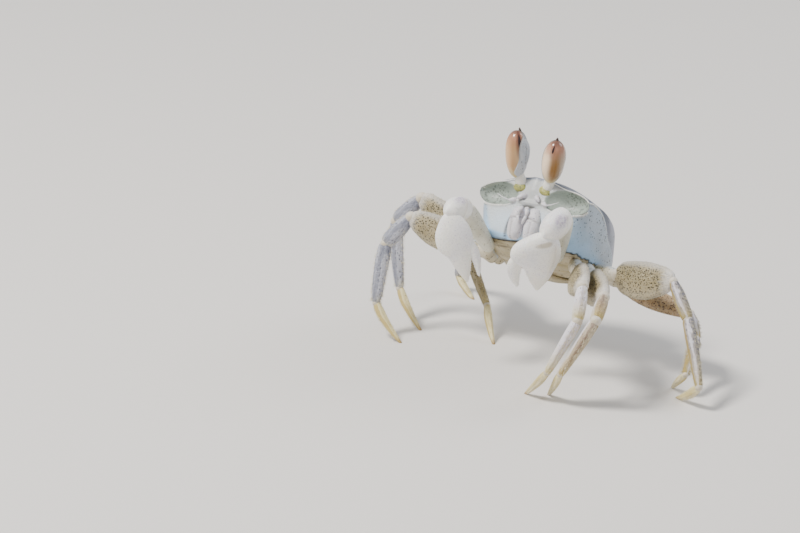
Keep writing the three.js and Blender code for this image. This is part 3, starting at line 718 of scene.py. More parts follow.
def body_marks(p, run):
    """Presses the orbits, furrows and mouth field into the skin; returns it with its marks."""
    x, y, z = p[..., 0], p[..., 1], p[..., 2]
    turn, length, rim = run[..., 0], run[..., 1], run[..., 2]
    side = np.abs(x)
    on_top = step(turn, MARGIN_TURN, 0.36) * (rim > 0.999)
    on_face = np.where(length >= 1, 1.0, step(length, 0.94, 1.0) * step(turn, 0.25, 0.42))
    furrow = on_top * np.max([groove(side, y, line, 0.017) for line in CROWN_GROOVES], 0)
    branchial = hump(side, 0.3, 0.11) * hump(y, -0.05, 0.2) * on_top
    cardiac = hump(side, 0, 0.08) * hump(y, -0.18, 0.12) * on_top
    z = z - 0.013 * furrow + 0.012 * branchial + 0.01 * cardiac
    low = step(turn, 0.68, 0.75) * step(side, 0.06, 0.14)
    for middle in (0.12, 0.0, -0.11, -0.22):
        z = z + 0.016 * hump(y + 0.12 * side, middle, 0.012) * low
    arch = (side / 0.165) ** 2.5 + (np.maximum(z + 0.45, 0) / 0.28) ** 2.5
    above_sill = step(z, -0.48, -0.45) * on_face
    mouth, frame_line = step(arch, 1.0, 0.8) * above_sill, hump(arch, 1.0, 0.09) * above_sill
    ledge = hump(z, -0.14, 0.018) * step(side, 0.15, 0.1) * on_face
    lobe = hump(side, 0, 0.05) * step(z, -0.12, -0.03) * on_face
    y = y - 0.022 * mouth + 0.012 * ledge + 0.022 * lobe - 0.006 * frame_line
    p = np.stack([x, y, z], -1)
    hollow, ridge = np.zeros(x.shape), np.zeros(x.shape)
    for sign in (-1, 1):
        d, _, deep, high, reach = orbit_reach(p, sign)
        pushed = np.where(reach < 2.2, (reach ** 14 + 1) ** (1 / 14), reach)
        p = ORBIT_AT * vec(-sign, 1, 1) + d * (pushed / reach)[..., None]
        hollow = np.maximum(hollow, step(reach, 1.0, 0.95))
        lower = hump(reach, 1.09, 0.06) * step(high, -0.1, -0.35) * (deep < 0)
        ridge = np.maximum(ridge, lower)
    p[..., 1] += 0.01 * ridge
    dark = np.maximum(np.minimum(1.0, frame_line * 0.9), 0.25 * furrow)
    return p, np.stack([hollow, dark, 0.7 * ridge], -1)


def margin_turn(t):
    """Where the beaded margin runs: it drops down the side wall behind the orbit."""
    return between([0.53, 0.53, 0.53, 0.53, 0.525, 0.51, 0.465, 0.43, 0.412, 0.402, 0.4], t)


def seam_wave(x, y):
    return (0.006 * np.sin(2 * PI * y / 0.12) + 0.004 * np.sin(2 * PI * y / 0.047 + 1)
            + 0.004 * np.sin(9 * x))


def build_body():
    """Cuts the whole skin along the seam into the upper shell and the underside."""
    grid, run, poles = body_grid()
    grid, mark = body_marks(grid, run)
    rows = np.concatenate([grid.reshape(-1, 3), poles]) * WIDTH
    runs = np.concatenate([run.reshape(-1, 3), [[0.9, 0, 0], [0.5, 1, 0]]])
    runs[:, 0] -= (margin_turn(runs[:, 1]) - MARGIN_TURN) * step(runs[:, 0], FOOT_TURN, 0.55)
    marks = np.concatenate([mark.reshape(-1, 3), np.zeros((2, 3))])
    normal = vec(0, math.sin(SEAM_SLOPE), math.cos(SEAM_SLOPE))
    wave = seam_wave(rows[:, 0] / WIDTH, rows[:, 1] / WIDTH) * WIDTH
    above = rows @ normal - SEAM_UP * WIDTH * normal[2] + wave
    line = np.maximum(hump(above, 0, 0.28), 0.8 * hump(above, -0.95, 0.12) * (runs[:, 0] > 0.5))
    marks[:, 1] = np.maximum(marks[:, 1], line)
    rows[:, 2] += wave
    faces = grid_faces(len(grid), AROUND)
    for name, sign, nodes, slot, finish in (
            ("carapace_shell", 1, ("carapace",), "carapace_shell", BODY_SHELL),
            ("thorax_shell", -1, ("thorax",), "under_shell", UNDER_SAND_AND_SHADE)):
        mesh = bpy.data.meshes.new(name)
        mesh.from_pydata(rows.tolist(), [], faces)
        write_fields(mesh, {"spot": rows, "run": runs, "mark": marks})
        cut_body(mesh, vec(0, 0, SEAM_UP * WIDTH) + normal * 0.11 * sign, normal * sign)
        set_on_frame(name, mesh, finish, nodes)
    return grid * WIDTH


def cut_body(mesh, point, normal):
    """Keeps the side of the skin that the normal points to and turns its cut edge inwards."""
    work = bmesh.new()
    work.from_mesh(mesh)
    bmesh.ops.bisect_plane(work, geom=work.verts[:] + work.edges[:] + work.faces[:], dist=1e-5,
                           plane_co=point, plane_no=normal, clear_inner=True)
    lip = bmesh.ops.extrude_edge_only(work, edges=[e for e in work.edges if e.is_boundary])
    for v in lip["geom"]:
        if isinstance(v, bmesh.types.BMVert):
            v.co.x *= 0.93
            v.co.y = (v.co.y - 0.3) * 0.94 + 0.3
            v.co.z -= 0.1 * float(normal[2])
    for v in work.verts:
        v.co.z -= float(seam_wave(v.co.x / WIDTH, v.co.y / WIDTH)) * WIDTH
    bmesh.ops.recalc_face_normals(work, faces=work.faces)
    work.to_mesh(mesh)
    work.free()
    rows = np.empty(len(mesh.vertices) * 3)
    mesh.vertices.foreach_get("co", rows)
    mesh.vertices.foreach_set("co", (BODY.out(rows.reshape(-1, 3)) * METRE).ravel())


def along_line(points, gap):
    """Points a fixed gap apart on a line through the given ones."""
    points = np.asarray(points)
    lengths = np.concatenate([[0], np.cumsum(np.linalg.norm(np.diff(points, axis=0), axis=1))])
    at = np.arange(0, lengths[-1], gap)
    return np.stack([np.interp(at, lengths, column) for column in points.T], -1)


def build_beads(grid):
    """The beaded white line over the orbit and down the margin, and the orbit's lower rim."""
    mesh = Mesh()
    for flip in (1, -1):
        line = []
        for row in range(REAR_RINGS + int(SIDE_RINGS * 0.42), FRONT_EDGE):
            at = margin_turn((row - REAR_RINGS + 1) / SIDE_RINGS) * AROUND / 2
            low = int(at)
            near, far = grid[row, (flip * low) % AROUND], grid[row, (flip * (low + 1)) % AROUND]
            line.append(near + (far - near) * (at - low))
        line += [grid[FRONT_EDGE + 3, (flip * k) % AROUND] for k in range(AROUND // 5, 16, -1)]
        line = along_line(line, 0.27)
        size = 0.09 + 0.11 * step(np.arange(len(line)) / len(line), 0.1, 0.5)
        granules(mesh, BODY.out(line), size)
        _, along, _, high, reach = orbit_reach(grid / WIDTH, -flip)
        along = along * flip
        lower = (reach > 1.03) & (reach < 1.13) & (high < -0.1)
        rim = [grid[lower & (along > low) & (along < low + 0.08)]
               for low in np.arange(-0.3, 0.98, 0.04)]
        rim = [near.mean(0) for near in rim if len(near)]
        granules(mesh, BODY.out(along_line(rim, 0.55)), 0.3)
    mesh.build("margin_beads", BEAD_SHELL, slot="carapace_shell")


grid = build_body()
build_beads(grid)


# ---------- limb pieces ----------

class Limb:
    """A closed shell piece along its own y axis, shaped by stations along its length."""

    def __init__(self, place, length, wide, deep, form):
        self.place, self.length, self.form = place, length, form
        self.wide, self.deep = wide * WIDTH / 2, deep * WIDTH / 2

    def at(self, y, a, rim=1.0):
        form = self.form
        t = y / self.length
        swell = 1.0
        for middle, height, width in form.get("collars", ()):
            swell = swell + height * hump(t, middle, width)
        for angle, height, width in form.get("ridges", ()):
            off = np.angle(np.exp(1j * (a - angle)))
            swell = swell + height * hump(off, 0, width) * step(t, 0.02, 0.15) * step(t, 1.0, 0.85)
        count, depth = form.get("flutes", (0, 0))
        if count:
            swell = swell + depth * np.cos(count * a) * step(t, 0.05, 0.3) * step(t, 1.0, 0.7)
        s = np.sin(a)
        across = np.sign(s) * np.abs(s) ** form.get("full", 1.0)
        bow = between(form["bow"], t) * self.deep * 2
        return np.stack(np.broadcast_arrays(
            rim * across * self.wide * between(form["wide"], t) * swell, y,
            rim * np.cos(a) * self.deep * between(form["deep"], t) * swell + bow), -1)

    def outward(self, y, a):
        """The way out of the shell at a point, square to its length, and the point."""
        ways = np.stack([np.sin(a) / self.wide, 0 * a, np.cos(a) / self.deep], -1)
        ways /= np.linalg.norm(ways, axis=-1)[..., None]
        return self.place.turn(ways), self.place.out(self.at(y, a))

    def shell(self, mesh, start, end, over, rings, around, mark=None):
        """Adds the shell; start and end are how long its rounded ends are."""
        turn = np.linspace(0, PI / 2, 9)
        first = start * (1 - np.cos(turn)) - over
        last = self.length + over - end * (1 - np.cos(turn[::-1]))
        y = np.concatenate([first, np.linspace(first[-1], last[0], rings)[1:-1], last])[:, None]
        rim = np.concatenate([np.sin(turn), np.ones(rings - 2), np.sin(turn[::-1])])[:, None]
        a = np.arange(around)[None, :] * 2 * PI / around
        run = np.stack(np.broadcast_arrays(
            np.clip(y[1:-1] / self.length, 0, 1), np.cos(a), np.sin(a)), -1)
        ends = self.at(y[[0, -1], 0], np.zeros(2), 0.0)
        mesh.skin(self.place, self.at(y[1:-1], a, rim[1:-1]), ends, run, mark)


def hair_rows(mesh, limb, rows, number):
    """Hairs along a limb piece: each row is (angle, spread, from, to, count, length)."""
    for angle, spread, low, high, count, length in rows:
        t = rng.uniform(low, high, count)
        a = angle + rng.normal(0, spread, count)
        out, root = limb.outward(t * limb.length, a)
        ways = out * rng.uniform(0.5, 0.9, (count, 1)) + limb.place.turn(vec(0, 1, 0)) * 0.75
        ways += rng.normal(0, 0.12, ways.shape)
        sizes = length * rng.uniform(0.6, 1.15, count)
        maps = np.stack([(a / (2 * PI)) % 1.0 * 0.9 + 0.02, (number + t) / 40], -1)
        hairs(mesh, root, ways, sizes, HAIR_THICK, maps)


# ---------- eyes ----------

EYE_BASE = {"left": (0.108, 0.405, 0.0), "right": (0.135, 0.405, 0.0)}
EYE_LENGTH, EYE_FORWARD = 0.475 * WIDTH, {"left": 0.0, "right": 0.05}
EYE_UP, EYE_LONG, EYE_WIDE = 0.264 * WIDTH, 0.193 * WIDTH, 0.09 * WIDTH
NECK = [0, 0.25, 0.75, 1, 1, 1, 1, 1, 1, 1]
PLATE_REACH = [0.5, 0.66, 0.6, 0.54, 0.5, 0.5, 0.5, 0.48, 0.42, 0.3, 0.16]
STALK = {
    "wide": [1, 0.95, 0.9, 1.15, 1.4, 1.5, 1.4, 1.05, 0.5, 0.16],
    "deep": [1, 0.95, 0.75, 0.62, 0.6, 0.62, 0.62, 0.5, 0.3, 0.16],
    "bow": [0, 0, 0.12, 0.42, 0.62, 0.72, 0.74, 0.62, 0.4, 0.22],
}


def eye_girth(v):
    return np.sqrt(1 - np.abs(2 * v - 1) ** 2.35) * (1 + 0.07 * (2 * v - 1) - 0.06 * (1 - v) ** 4)


def build_eye(side, lean_across, lean_toward, inward, streak):
    """One eye: the cornea, the stalk, the plate that wraps the cornea, and the skin at the foot."""
    across = vec(math.cos(VIEW_TURN), math.sin(VIEW_TURN), 0)
    toward = vec(math.sin(VIEW_TURN), -math.cos(VIEW_TURN), 0)
    along = vec(0, 0, 1) + across * math.tan(math.radians(lean_across))
    along = unit(along + toward * math.tan(math.radians(lean_toward)))
    wide = unit(np.cross(along, unit(inward)))
    place = Place(on_body(side, EYE_BASE[side]), wide, along, np.cross(wide, along))
    shift = EYE_FORWARD[side]

    def eye_points(v, radius, a, half_long):
        return np.stack(np.broadcast_arrays(
            radius * np.sin(a), EYE_UP + (2 * v - 1) * half_long,
            -radius * np.cos(a) - shift * WIDTH), -1)

    v = (1 - np.cos(np.linspace(0, PI, 46)[1:-1, None])) / 2
    a = np.arange(64)[None, :] * 2 * PI / 64
    run = np.stack(np.broadcast_arrays(v, np.where(a > PI, a - 2 * PI, a) / PI, 0.0), -1)
    cornea = Mesh()
    cornea.skin(place, eye_points(v, EYE_WIDE * eye_girth(v), a, EYE_LONG),
                eye_points(vec(0, 1), 0, 0, EYE_LONG), run)
    cornea.build("cornea_" + side, eye_finish("cornea_" + side, streak), ("eye_" + side,), "eye")

    stalk = Mesh()
    form = dict(STALK, bow=[b - n * shift / 0.1 for b, n in zip(STALK["bow"], NECK)])
    Limb(place, EYE_LENGTH, 0.1, 0.1, form).shell(
        stalk, 1.2, 0.5, 0.15, 60, 32, lambda run: step(run[:, :1], 0.34, 0.2) * vec(0.85, 0, 0))
    stalk.build("stalk_" + side, STALK_SHELL, ("eyestalk_" + side,), "eyestalk")

    plate = Mesh()
    fine, swing = np.linspace(0, 1, 46)[:, None], np.linspace(-1, 1, 41)[None, :]
    around = PI + swing * between(PLATE_REACH, fine) * PI
    v = 0.03 + 0.965 * fine
    faces = []
    for lift in (0.16, -0.35):
        radius = EYE_WIDE * eye_girth(v) + lift * np.sqrt(1 - 0.9 * swing ** 4)
        faces.append(eye_points(v, radius, around, EYE_LONG + lift * 0.4))
    sheet = np.concatenate([faces[0], faces[1][:, ::-1]], 1)
    round_trip = np.concatenate([swing, swing[:, ::-1]], 1)
    run = np.stack(np.broadcast_arrays(fine, round_trip, 0.0), -1)
    dark = 0.75 * step(np.abs(round_trip), 0.9, 0.98) * step(fine, 0.25, 0.5)
    plate.skin(place, sheet, sheet[[0, -1]].mean(1), run, dark[..., None] * vec(0, 1, 0))
    plate.build("stalk_plate_" + side, PLATE_SHELL, slot="eyestalk")

    base = Mesh()
    ball(base, place, (0, -0.25, 0), (2.5, 1.45, 2.4), 16, 32)
    base.build("eye_base_" + side, OLIVE_SKIN, slot="eyestalk")


# The near eye's flanks are painted: its lit flank pale cream and its shaded flank dark tan; the far
# eye's flanks differ less.
build_eye("left", 8, 16, vec(-0.55, 0.8, 0),
          {"band": -0.02, "turn": 0.1, "wide": 0.045, "high": 0.885, "long": 0.08, "ochre": 0.95,
           "lit_and_shaded_flanks": ("a08a73", "f7dcbc"), "shade": 0.3})
build_eye("right", 0, -3, vec(0.75, 0.8, 0),
          {"band": -0.38, "turn": -0.53, "wide": 0.05, "high": 0.8, "long": 0.15, "ochre": 0.6,
           "lit_and_shaded_flanks": ("e0c19a", "d0a678"), "shade": 0.75})


# ---------- face and abdomen ----------

PALP = (
    ([(0.02, 0.475, -0.2), (0.04, 0.485, -0.235), (0.038, 0.478, -0.27)], (0.62, 0.62, 0.372), 10),
    ([(0.038, 0.478, -0.27), (0.026, 0.474, -0.305), (0.016, 0.466, -0.33)],
     (0.45, 0.45, 0.27), 10),
)
FEELERS = (
    ([(0.05, 0.43, -0.085), (0.07, 0.462, -0.1), (0.1, 0.47, -0.125)], (0.8, 0.7, 0.45), 10),
    ([(0.12, 0.42, -0.125), (0.15, 0.455, -0.14), (0.175, 0.46, -0.15)], (0.75, 0.6, 0.35), 10),
    ([(0.175, 0.46, -0.15), (0.23, 0.475, -0.14), (0.29, 0.478, -0.115)], (0.22, 0.14, 0.06), 8),
)
ABDOMEN_PATH = [(-0.462, -0.3), (-0.458, -0.39), (-0.365, -0.47), (-0.25, -0.515), (-0.06, -0.545),
                (0.12, -0.54)]

def build_mouth(side, sign):
    """One mouth plate with its palp, and the feelers beside it."""
    mesh = Mesh()
    a = np.linspace(0, PI, 42)[1:-1, None]
    b = np.arange(48)[None, :] * 2 * PI / 48
    girth = np.sin(a) ** 0.6
    x = 0.0665 * girth * np.sign(np.sin(b)) * np.abs(np.sin(b)) ** 0.8
    z = 0.135 * (-np.cos(a) + 0 * b)
    front, inner = np.maximum(np.cos(b), 0), x * sign
    cut = hump(z, 0.035 + 0.25 * inner, 0.006)
    cut = cut + 0.7 * hump(inner, -0.018 - 0.1 * z, 0.006) * step(z, 0.03, 0.0)
    y = 0.06 * girth * np.cos(b) - 0.013 * cut * front
    lean = math.radians(-8)
    tipped = Place(vec(-sign * 0.0745, 0.405, -0.31), vec(1, 0, 0),
                   vec(0, math.cos(lean), math.sin(lean)), vec(0, -math.sin(lean), math.cos(lean)))
    ends = tipped.out([[0, 0, -0.135], [0, 0, 0.135]]) * WIDTH
    dark = (0.55 * np.minimum(1, cut) * front)[..., None] * vec(0, 1, 0)
    mesh.skin(BODY, tipped.out(np.stack([x, y, z], -1)) * WIDTH, ends, mark=dark)
    for line, radii, around in PALP:
        rod(mesh, on_body(side, line), radii, around)
    mesh.build("mouth_plate_" + side, MOUTH_SHELL, ("maxilliped_" + side,), "mouth_shell")
    feelers = Mesh()
    for line, radii, around in FEELERS:
        rod(feelers, on_body(side, line), radii, around)
    feelers.build("feelers_" + side, MOUTH_SHELL, slot="mouth_shell")


def build_abdomen():
    """The narrow folded abdomen: a jointed strip from the rear edge to between the leg roots."""
    corners = np.array(ABDOMEN_PATH)
    fine = np.linspace(0, 1, 400)
    path = np.stack([between(column, fine) for column in corners.T])
    lengths = np.concatenate([[0], np.cumsum(np.hypot(*np.diff(path)))])
    t = np.linspace(0, 1, 90)
    y, z = (np.interp(t * lengths[-1], lengths, column) for column in path)
    ways = np.stack([np.gradient(y), np.gradient(z)])
    rise_y, rise_z = ways / np.linalg.norm(ways, axis=0)
    a = np.arange(48)[None, :] * 2 * PI / 48
    under = np.maximum(np.cos(a), 0)
    seams = sum(hump(t, m, 0.009) for m in (0.14, 0.26, 0.38, 0.5, 0.64, 0.82))
    taper = np.sqrt(np.minimum(1, (1 - t) / 0.05 + 0.02)) * np.sqrt(np.minimum(1, t / 0.03 + 0.02))
    half = between([0.17, 0.16, 0.15, 0.12, 0.085, 0.07, 0.06, 0.045], t)
    half = half * taper * (1 - 0.05 * seams)
    thick = 0.028 * taper[:, None] * (1 - 0.35 * seams[:, None] * under)
    off = np.sign(np.cos(a)) * np.abs(np.cos(a)) ** 0.7 * thick
    rows = np.stack([-np.sin(a) * half[:, None], y[:, None] + rise_z[:, None] * off,
                     z[:, None] - rise_y[:, None] * off], -1)
    ends = vec([0, y[0], z[0]], [0, y[-1], z[-1]])
    dark = (0.5 * np.minimum(1, seams)[:, None] * under)[..., None] * vec(0, 1, 0)
    mesh = Mesh()
    mesh.skin(BODY, rows * WIDTH, ends * WIDTH, mark=dark)
    mesh.build("abdomen_plate", UNDER_SAND_AND_SHADE, ("abdomen",), "under_shell")


build_mouth("left", 1)
build_mouth("right", -1)
build_abdomen()


# ---------- claws ----------

PALM = {
    "wide": [0.5, 0.82, 1, 1, 0.88, 0.66, 0.5, 0.36, 0.16],
    "deep": [0.37, 0.68, 0.94, 1.03, 0.96, 0.64, 0.48, 0.29, 0.07],
    "bow": [0, 0.06, 0.14, 0.17, 0.16, 0.05, 0.02, 0.01, 0],
    "full": 0.9, "ridges": ((PI, 0.05, 0.22),),
}
FINGER = {
    "wide": [0.9, 1, 0.95, 0.84, 0.7, 0.5, 0.24], "deep": [0.8, 1, 1, 0.88, 0.7, 0.48, 0.2],
    "bow": [0, 0.12, 0.2, 0.22, 0.18, 0.08, -0.04], "flutes": (4, 0.05),
}
CLAW_MERUS = {"wide": [0.75, 0.9, 1, 1, 0.9], "deep": [0.7, 0.85, 1, 1.05, 0.9], "bow": [0, 0],
              "ridges": ((0, 0.08, 0.25), (2.2, 0.06, 0.25), (-2.2, 0.06, 0.25))}
CLAW_CARPUS = {"wide": [0.3, 0.75, 0.95, 1, 0.95, 0.75, 0.3],
               "deep": [0.3, 0.75, 0.95, 1, 0.95, 0.75, 0.3], "bow": [0, 0],
               "ridges": ((0.5, 0.06, 0.2),)}
CLAWS = {
    "left": {"hip": (0.28, 0.25, -0.52), "ways": [(-38, 60), (-93, -18), (147, -70)],
             "long": (0.5, 0.24, 0.56),
             "merus": (0.15, 0.17), "carpus": (0.2, 0.26), "palm": (0.16, 0.37),
             "finger": (0.075, 0.11), "hinge": (0.25, 0.195), "tip": (0.545, 0.165),
             "above": (-0.8, -0.6, 0), "sag": 1},
    "right": {"hip": (0.33, 0.25, -0.52), "ways": [(-98, 56), (-88, 8), (30, -76)],
              "long": (0.5, 0.24, 0.6),
              "merus": (0.13, 0.145), "carpus": (0.17, 0.2), "palm": (0.13, 0.28),
              "finger": (0.06, 0.08), "hinge": (0.27, 0.085), "tip": (0.575, 0.105),
              "above": (0.8, 0.6, 0), "sag": -0.3},
}


def teeth(mesh, limb, angle, low, high, count, size):
    """Blunt teeth along the cutting edge of a finger."""
    t = np.linspace(low, high, count)
    out, root = limb.outward(t * limb.length, np.full(count, angle))
    along = limb.place.axes[1]
    for k in range(count):
        s = size * (1.0 if k % 3 == 1 else 0.65) * (1.2 - t[k] * 0.5)
        place = Place(root[k] - out[k] * s * 0.2, unit(np.cross(along, out[k])), out[k], along)
        ball(mesh, place, (0, 0, 0), (s * 0.7, s, s * 0.8), 6, 8)


def wrist_marks(run):
    """A lilac patch on the outer face, and a dull line with a pale one beside it."""
    t, a = run[:, 0], np.arctan2(run[:, 2], run[:, 1])
    patch = 0.75 * step(np.hypot((t - 0.56) / 0.2, (a + 0.6) / 0.5), 1.3, 0.6)
    slant = a + 6.5 * (t - 0.46)
    line = 0.22 * hump(slant, -1.25, 0.13) * step(t, 0.3, 0.4) * step(t, 0.75, 0.65)
    pale = 0.5 * hump(slant, -0.98, 0.16) * step(t, 0.3, 0.4) * step(t, 0.8, 0.7)
    return np.stack([pale, line, patch], -1)


def hand_marks(run):
    """A dull fold beside the wrist, and a ridge down towards the fixed finger."""
    t, a = run[:, 0], np.arctan2(run[:, 2], run[:, 1])
    fold = 0.5 * step(np.hypot((t - 0.13 - 0.05 * (a + 1.75)) / 0.045, (a + 1.75) / 0.55), 1.2, 0.6)
    ridge = hump(a, -2.5, 0.1) * step(t, 0.12, 0.2) * step(t, 0.7, 0.5)
    pale = 0.7 * step(t, 0.6, 0.95) + 0.5 * hump(a, -2.3, 0.12) * step(t, 0.12, 0.2)
    return np.stack([np.minimum(pale, 1), np.maximum(fold, 0.2 * ridge), 0 * t], -1)


def build_claw(side):
    claw = CLAWS[side]
    ways = [heading(*way) for way in claw["ways"]]
    joints = joint_line(on_body(side, claw["hip"]), ways, claw["long"])
    plane = unit(np.cross(ways[0], ways[1]))
    palm_plane = unit(np.cross(vec(*claw["above"]), ways[2]))
    long = [part * WIDTH for part in claw["long"]]
    wrist = limb_place(joints[1], joints[2], plane)
    wrist.origin = wrist.origin - wrist.axes[1] * 0.05 * WIDTH
    hand = limb_place(joints[2], joints[3], palm_plane)
    hinge, tip = (hand.out(vec(0, *claw[end]) * WIDTH) for end in ("hinge", "tip"))
    palm_form = dict(PALM, bow=[bow * claw["sag"] for bow in PALM["bow"]])
    size = claw["palm"][1] / 0.4
    for name, part, place, length, form, shape, bite in (
            ("arm", "merus", limb_place(joints[0], joints[1], plane), long[0], CLAW_MERUS,
             (1.6, 1.6, 0.0, 54, 40), ()),
            ("wrist", "carpus", wrist, long[1] + 0.1 * WIDTH, CLAW_CARPUS,
             (1.8, 1.8, 0.0, 50, 56, wrist_marks), ()),
            ("hand", "palm", hand, long[2], palm_form,
             (1.5, 0.6, 0.0, 90, 72, hand_marks), (0.0, 0.62, 0.95, 11, 0.42 * size)),
            ("finger", "finger", limb_place(hinge, tip, palm_plane),
             float(np.linalg.norm(tip - hinge)), FINGER,
             (0.8, 0.5, 0.0, 60, 40), (PI, 0.25, 0.92, 11, 0.4 * size))):
        mesh = Mesh()
        limb = Limb(place, length, *claw[part], form)
        limb.shell(mesh, *shape)
        if bite:
            teeth(mesh, limb, *bite)
        finish = CLAW_ARM if part == "merus" else CLAW_SHELL
        mesh.build(f"claw_{name}_{side}", finish, (f"claw_{side}_{part}",), "claw_shell")


build_claw("left")
build_claw("right")


# ---------- walking legs ----------

LEG_SIZES = {
    2: ([0.2, 0.52, 0.31, 0.49, 0.4], [0.115, 0.245, 0.125, 0.11, 0.075]),
    3: ([0.22, 0.62, 0.34, 0.55, 0.42], [0.12, 0.255, 0.13, 0.115, 0.08]),
    4: ([0.22, 0.64, 0.34, 0.56, 0.4], [0.13, 0.285, 0.1, 0.094, 0.08]),
    5: ([0.2, 0.63, 0.27, 0.4, 0.32], [0.11, 0.175, 0.095, 0.085, 0.065]),
}
LEG_HIPS = {2: (0.42, 0.155, -0.51), 3: (0.455, 0.025, -0.49), 4: (0.47, -0.1, -0.45),
            5: (0.43, -0.24, -0.42)}
LEG_POSES = {
    "left": {2: [(-51, 6), (-65, -43), (-154, -62), 160],
             3: [(-47, 4), (-66, -14), (-167, -59), 142],
             4: [(-12, 9), (-29, -43), (-41, -51), 153],
             5: [(3, -12), (-46, -27), (-69, -27), 147]},
    "right": {2: [(-172, 15), (-150, -48), (-89, -74), -5],
              3: [(173, 22), (-174, -44), (-42, -74), -18],
              4: [(151, 7), (-31, -40), (-32, -38), -44],
              5: [(151, 4), (141, -54), (139, -57), -26]},
}
LEG_WIDE = (0.11, 0.125, 0.1, 0.085, 0.06)
INSET, TIP_DROP = 0.05, 0.3
LEG_FORMS = (
    {"wide": [1, 1.05, 0.95, 0.8], "deep": [1, 1.05, 0.9, 0.75], "bow": [0, 0],
     "collars": ((0.55, -0.1, 0.04), (0.68, 0.06, 0.06))},
    {"wide": [0.6, 0.88, 1, 1, 0.95, 0.86, 0.7], "deep": [0.64, 0.9, 1.02, 1.04, 0.95, 0.76, 0.54],
     "bow": [0, -0.05, -0.08, -0.08, -0.06, -0.03, 0], "full": 0.85,
     "ridges": ((0, 0.03, 0.12), (2.8, 0.03, 0.15), (-2.8, 0.03, 0.15)),
     "collars": ((0.93, -0.05, 0.015), (0.97, 0.05, 0.03), (0.06, -0.06, 0.02))},
    {"wide": [0.72, 0.98, 1, 0.9], "deep": [0.68, 0.96, 1, 0.93], "bow": [0, 0],
     "ridges": ((0.5, 0.07, 0.22), (-0.5, 0.07, 0.22), (PI, 0.05, 0.3)),
     "collars": ((0.93, -0.04, 0.02), (0.99, 0.05, 0.04), (0.03, 0.06, 0.04))},
    {"wide": [0.98, 1, 0.95, 0.84, 0.72], "deep": [0.98, 1.02, 0.96, 0.84, 0.7],
     "bow": [0, 0.03, 0.03, 0],
     "ridges": ((0.45, 0.08, 0.2), (-0.45, 0.08, 0.2), (PI, 0.07, 0.3)),
     "collars": ((0.95, -0.06, 0.012), (0.99, 0.06, 0.02))},
    {"wide": [0.85, 1, 0.9, 0.75, 0.58, 0.34], "deep": [0.85, 1, 0.88, 0.7, 0.5, 0.28],
     "bow": [0, 0.16, 0.2, 0.14, 0], "flutes": (6, 0.1), "collars": ((0.03, 0.08, 0.03),)},
)
LEG_PARTS = ("base", "merus", "carpus", "propodus", "dactyl")
LEG_SLOTS = ("limb_root_shell", "leg_upper_shell", "leg_lower_shell", "leg_lower_shell",
             "claw_tip_shell")


LEG_HAIRS = (
    (),
    ((0.0, 0.08, 0.15, 0.95, 26, 0.55), (PI, 0.25, 0.2, 0.9, 20, 0.6)),
    ((0.0, 0.35, 0.1, 0.95, 60, 0.8), (PI, 0.3, 0.3, 0.95, 24, 0.7)),
    ((0.0, 0.3, 0.05, 0.97, 120, 1.0), (PI, 0.3, 0.1, 0.97, 90, 1.0)),
    ((0.0, 0.3, 0.02, 0.8, 60, 0.7), (PI, 0.3, 0.02, 0.75, 50, 0.6)),
)


def build_leg(side, number):
    """One walking leg: five shells, one coat of hairs, and the soft skin in its joints."""
    long, deep = LEG_SIZES[number]
    first, second, third, last_turn = LEG_POSES[side][number]
    ways = [heading(*way) for way in (first, first, second, third)]
    hip = on_body(side, LEG_HIPS[number])
    joints = joint_line(hip, ways, long)
    reach = long[4] * WIDTH
    drop = math.degrees(math.asin((joints[-1][2] + TIP_DROP) / reach))
    joints.append(joints[-1] + heading(last_turn, -drop) * reach)
    joints[0] = hip - ways[0] * INSET * WIDTH
    plane = unit(np.cross(ways[0], ways[3]))
    lower = LOWER_LEGS.get((side, number), LOWER_BLUE)
    finishes = (ROOT_SAND, MERUS_RUST if number == 5 else MERUS_SAND, lower, lower, TOE_YELLOW)
    name = f"leg{number}_{side}_"
    coat, skin = Mesh(), Mesh()
    for i, part in enumerate(LEG_PARTS):
        mesh = Mesh()
        length = float(np.linalg.norm(joints[i + 1] - joints[i]))
        limb = Limb(limb_place(joints[i], joints[i + 1], plane), length, LEG_WIDE[i], deep[i],
                    LEG_FORMS[i])
        blunt = 0.8 * deep[i] * WIDTH / 2
        end, over = (0.4, 0.0) if part == "dactyl" else (min(blunt, 2.2), 0.35)
        limb.shell(mesh, min(blunt, 2.4), end, over, 60, 44)
        mesh.build(name + part + "_shell", finishes[i], (name + part,), LEG_SLOTS[i])
        hair_rows(coat, limb, LEG_HAIRS[i], i * 2 + 1)
        if i:
            size = min(deep[i - 1], deep[i], 0.13) * WIDTH * 0.38
            ball(skin, world_at(*joints[i]), vec(0, 0, 0), vec(size, size, size), 12, 20)
    coat.build(name + "hairs", HAIR, slot="leg_lower_shell", map_name="OFBake")
    skin.build(name + "joints", SOFT_SKIN, slot="leg_lower_shell")


for leg_side in ("left", "right"):
    for leg_number in (2, 3, 4, 5):
        build_leg(leg_side, leg_number)


# ---------- floor, light and camera ----------

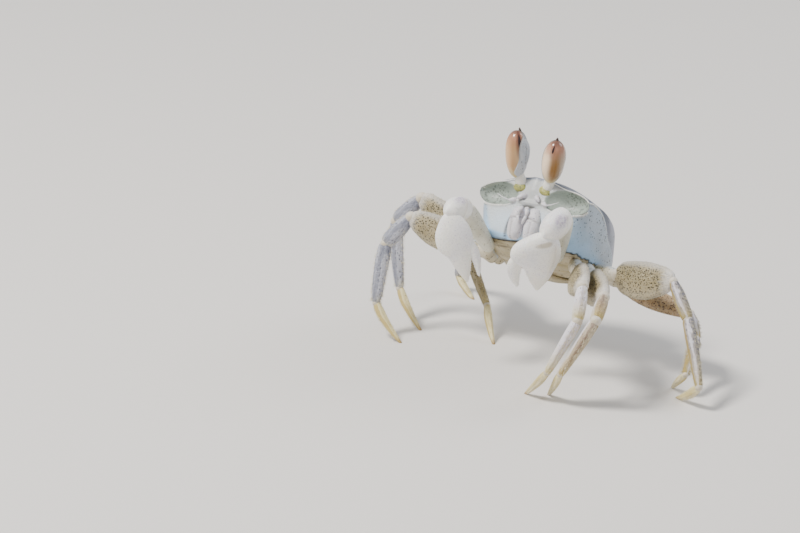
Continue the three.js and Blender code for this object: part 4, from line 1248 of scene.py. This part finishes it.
CAMERA_AIM, CAMERA_BACK = BODY.origin + vec(0, 0, 0.8), 1088
CAMERA_ASIDE, CAMERA_LOWER = 43.44, 16.66   # how far the view is moved to frame the crab

def build_stage():
    mesh = bpy.data.meshes.new("floor")
    half = 6.0
    mesh.from_pydata([(-half, -half, 0), (half, -half, 0), (half, half, 0), (-half, half, 0)], [],
                     [(0, 1, 2, 3)])
    floor = into_scene("floor", mesh)
    floor.location.z = -0.00005
    material, _, shader = start_finish("floor_pale", 0.8, 0.0)
    shader.inputs["Base Color"].default_value = rgb("dcd8d4")
    mesh.materials.append(material)


def add_light(name, place, size, power, color):
    data = bpy.data.lights.new(name, "AREA")
    data.shape, data.size, data.energy, data.color = "DISK", size, power, color
    lamp = into_scene(name, data)
    lamp.location = place
    lamp.rotation_euler = (Vector((0, 0, 0.03)) - Vector(place)).to_track_quat("-Z", "Y").to_euler()


def build_camera():
    rise = math.radians(18)
    level = vec(math.sin(VIEW_TURN), -math.cos(VIEW_TURN), 0)
    back = level * math.cos(rise) + vec(0, 0, math.sin(rise))
    across = vec(math.cos(VIEW_TURN), math.sin(VIEW_TURN), 0)
    over = np.cross(back, across)
    place = CAMERA_AIM + back * CAMERA_BACK - across * CAMERA_ASIDE - over * CAMERA_LOWER
    data = bpy.data.cameras.new("camera")
    data.lens, data.sensor_width = 180, 36
    data.clip_start, data.clip_end = 0.05, 100
    camera = into_scene("camera", data)
    axes = Matrix(np.stack([across, over, back], -1).tolist()).to_4x4()
    camera.matrix_world = Matrix.Translation(place * METRE) @ axes
    bpy.context.scene.camera = camera


def build_sky():
    world = bpy.data.worlds.new("studio")
    bpy.context.scene.world = world
    world.use_nodes = True
    inputs = world.node_tree.nodes["Background"].inputs
    inputs["Color"].default_value, inputs["Strength"].default_value = (0.93, 0.96, 1.0, 1), 0.66


build_stage()
build_sky()
add_light("high_key", (-0.36, -0.5, 1.0), 0.3, 19.0, (1.0, 0.97, 0.92))
add_light("back_fill", (0.5, 0.8, 0.7), 0.7, 5.0, (0.94, 0.97, 1.0))
build_camera()
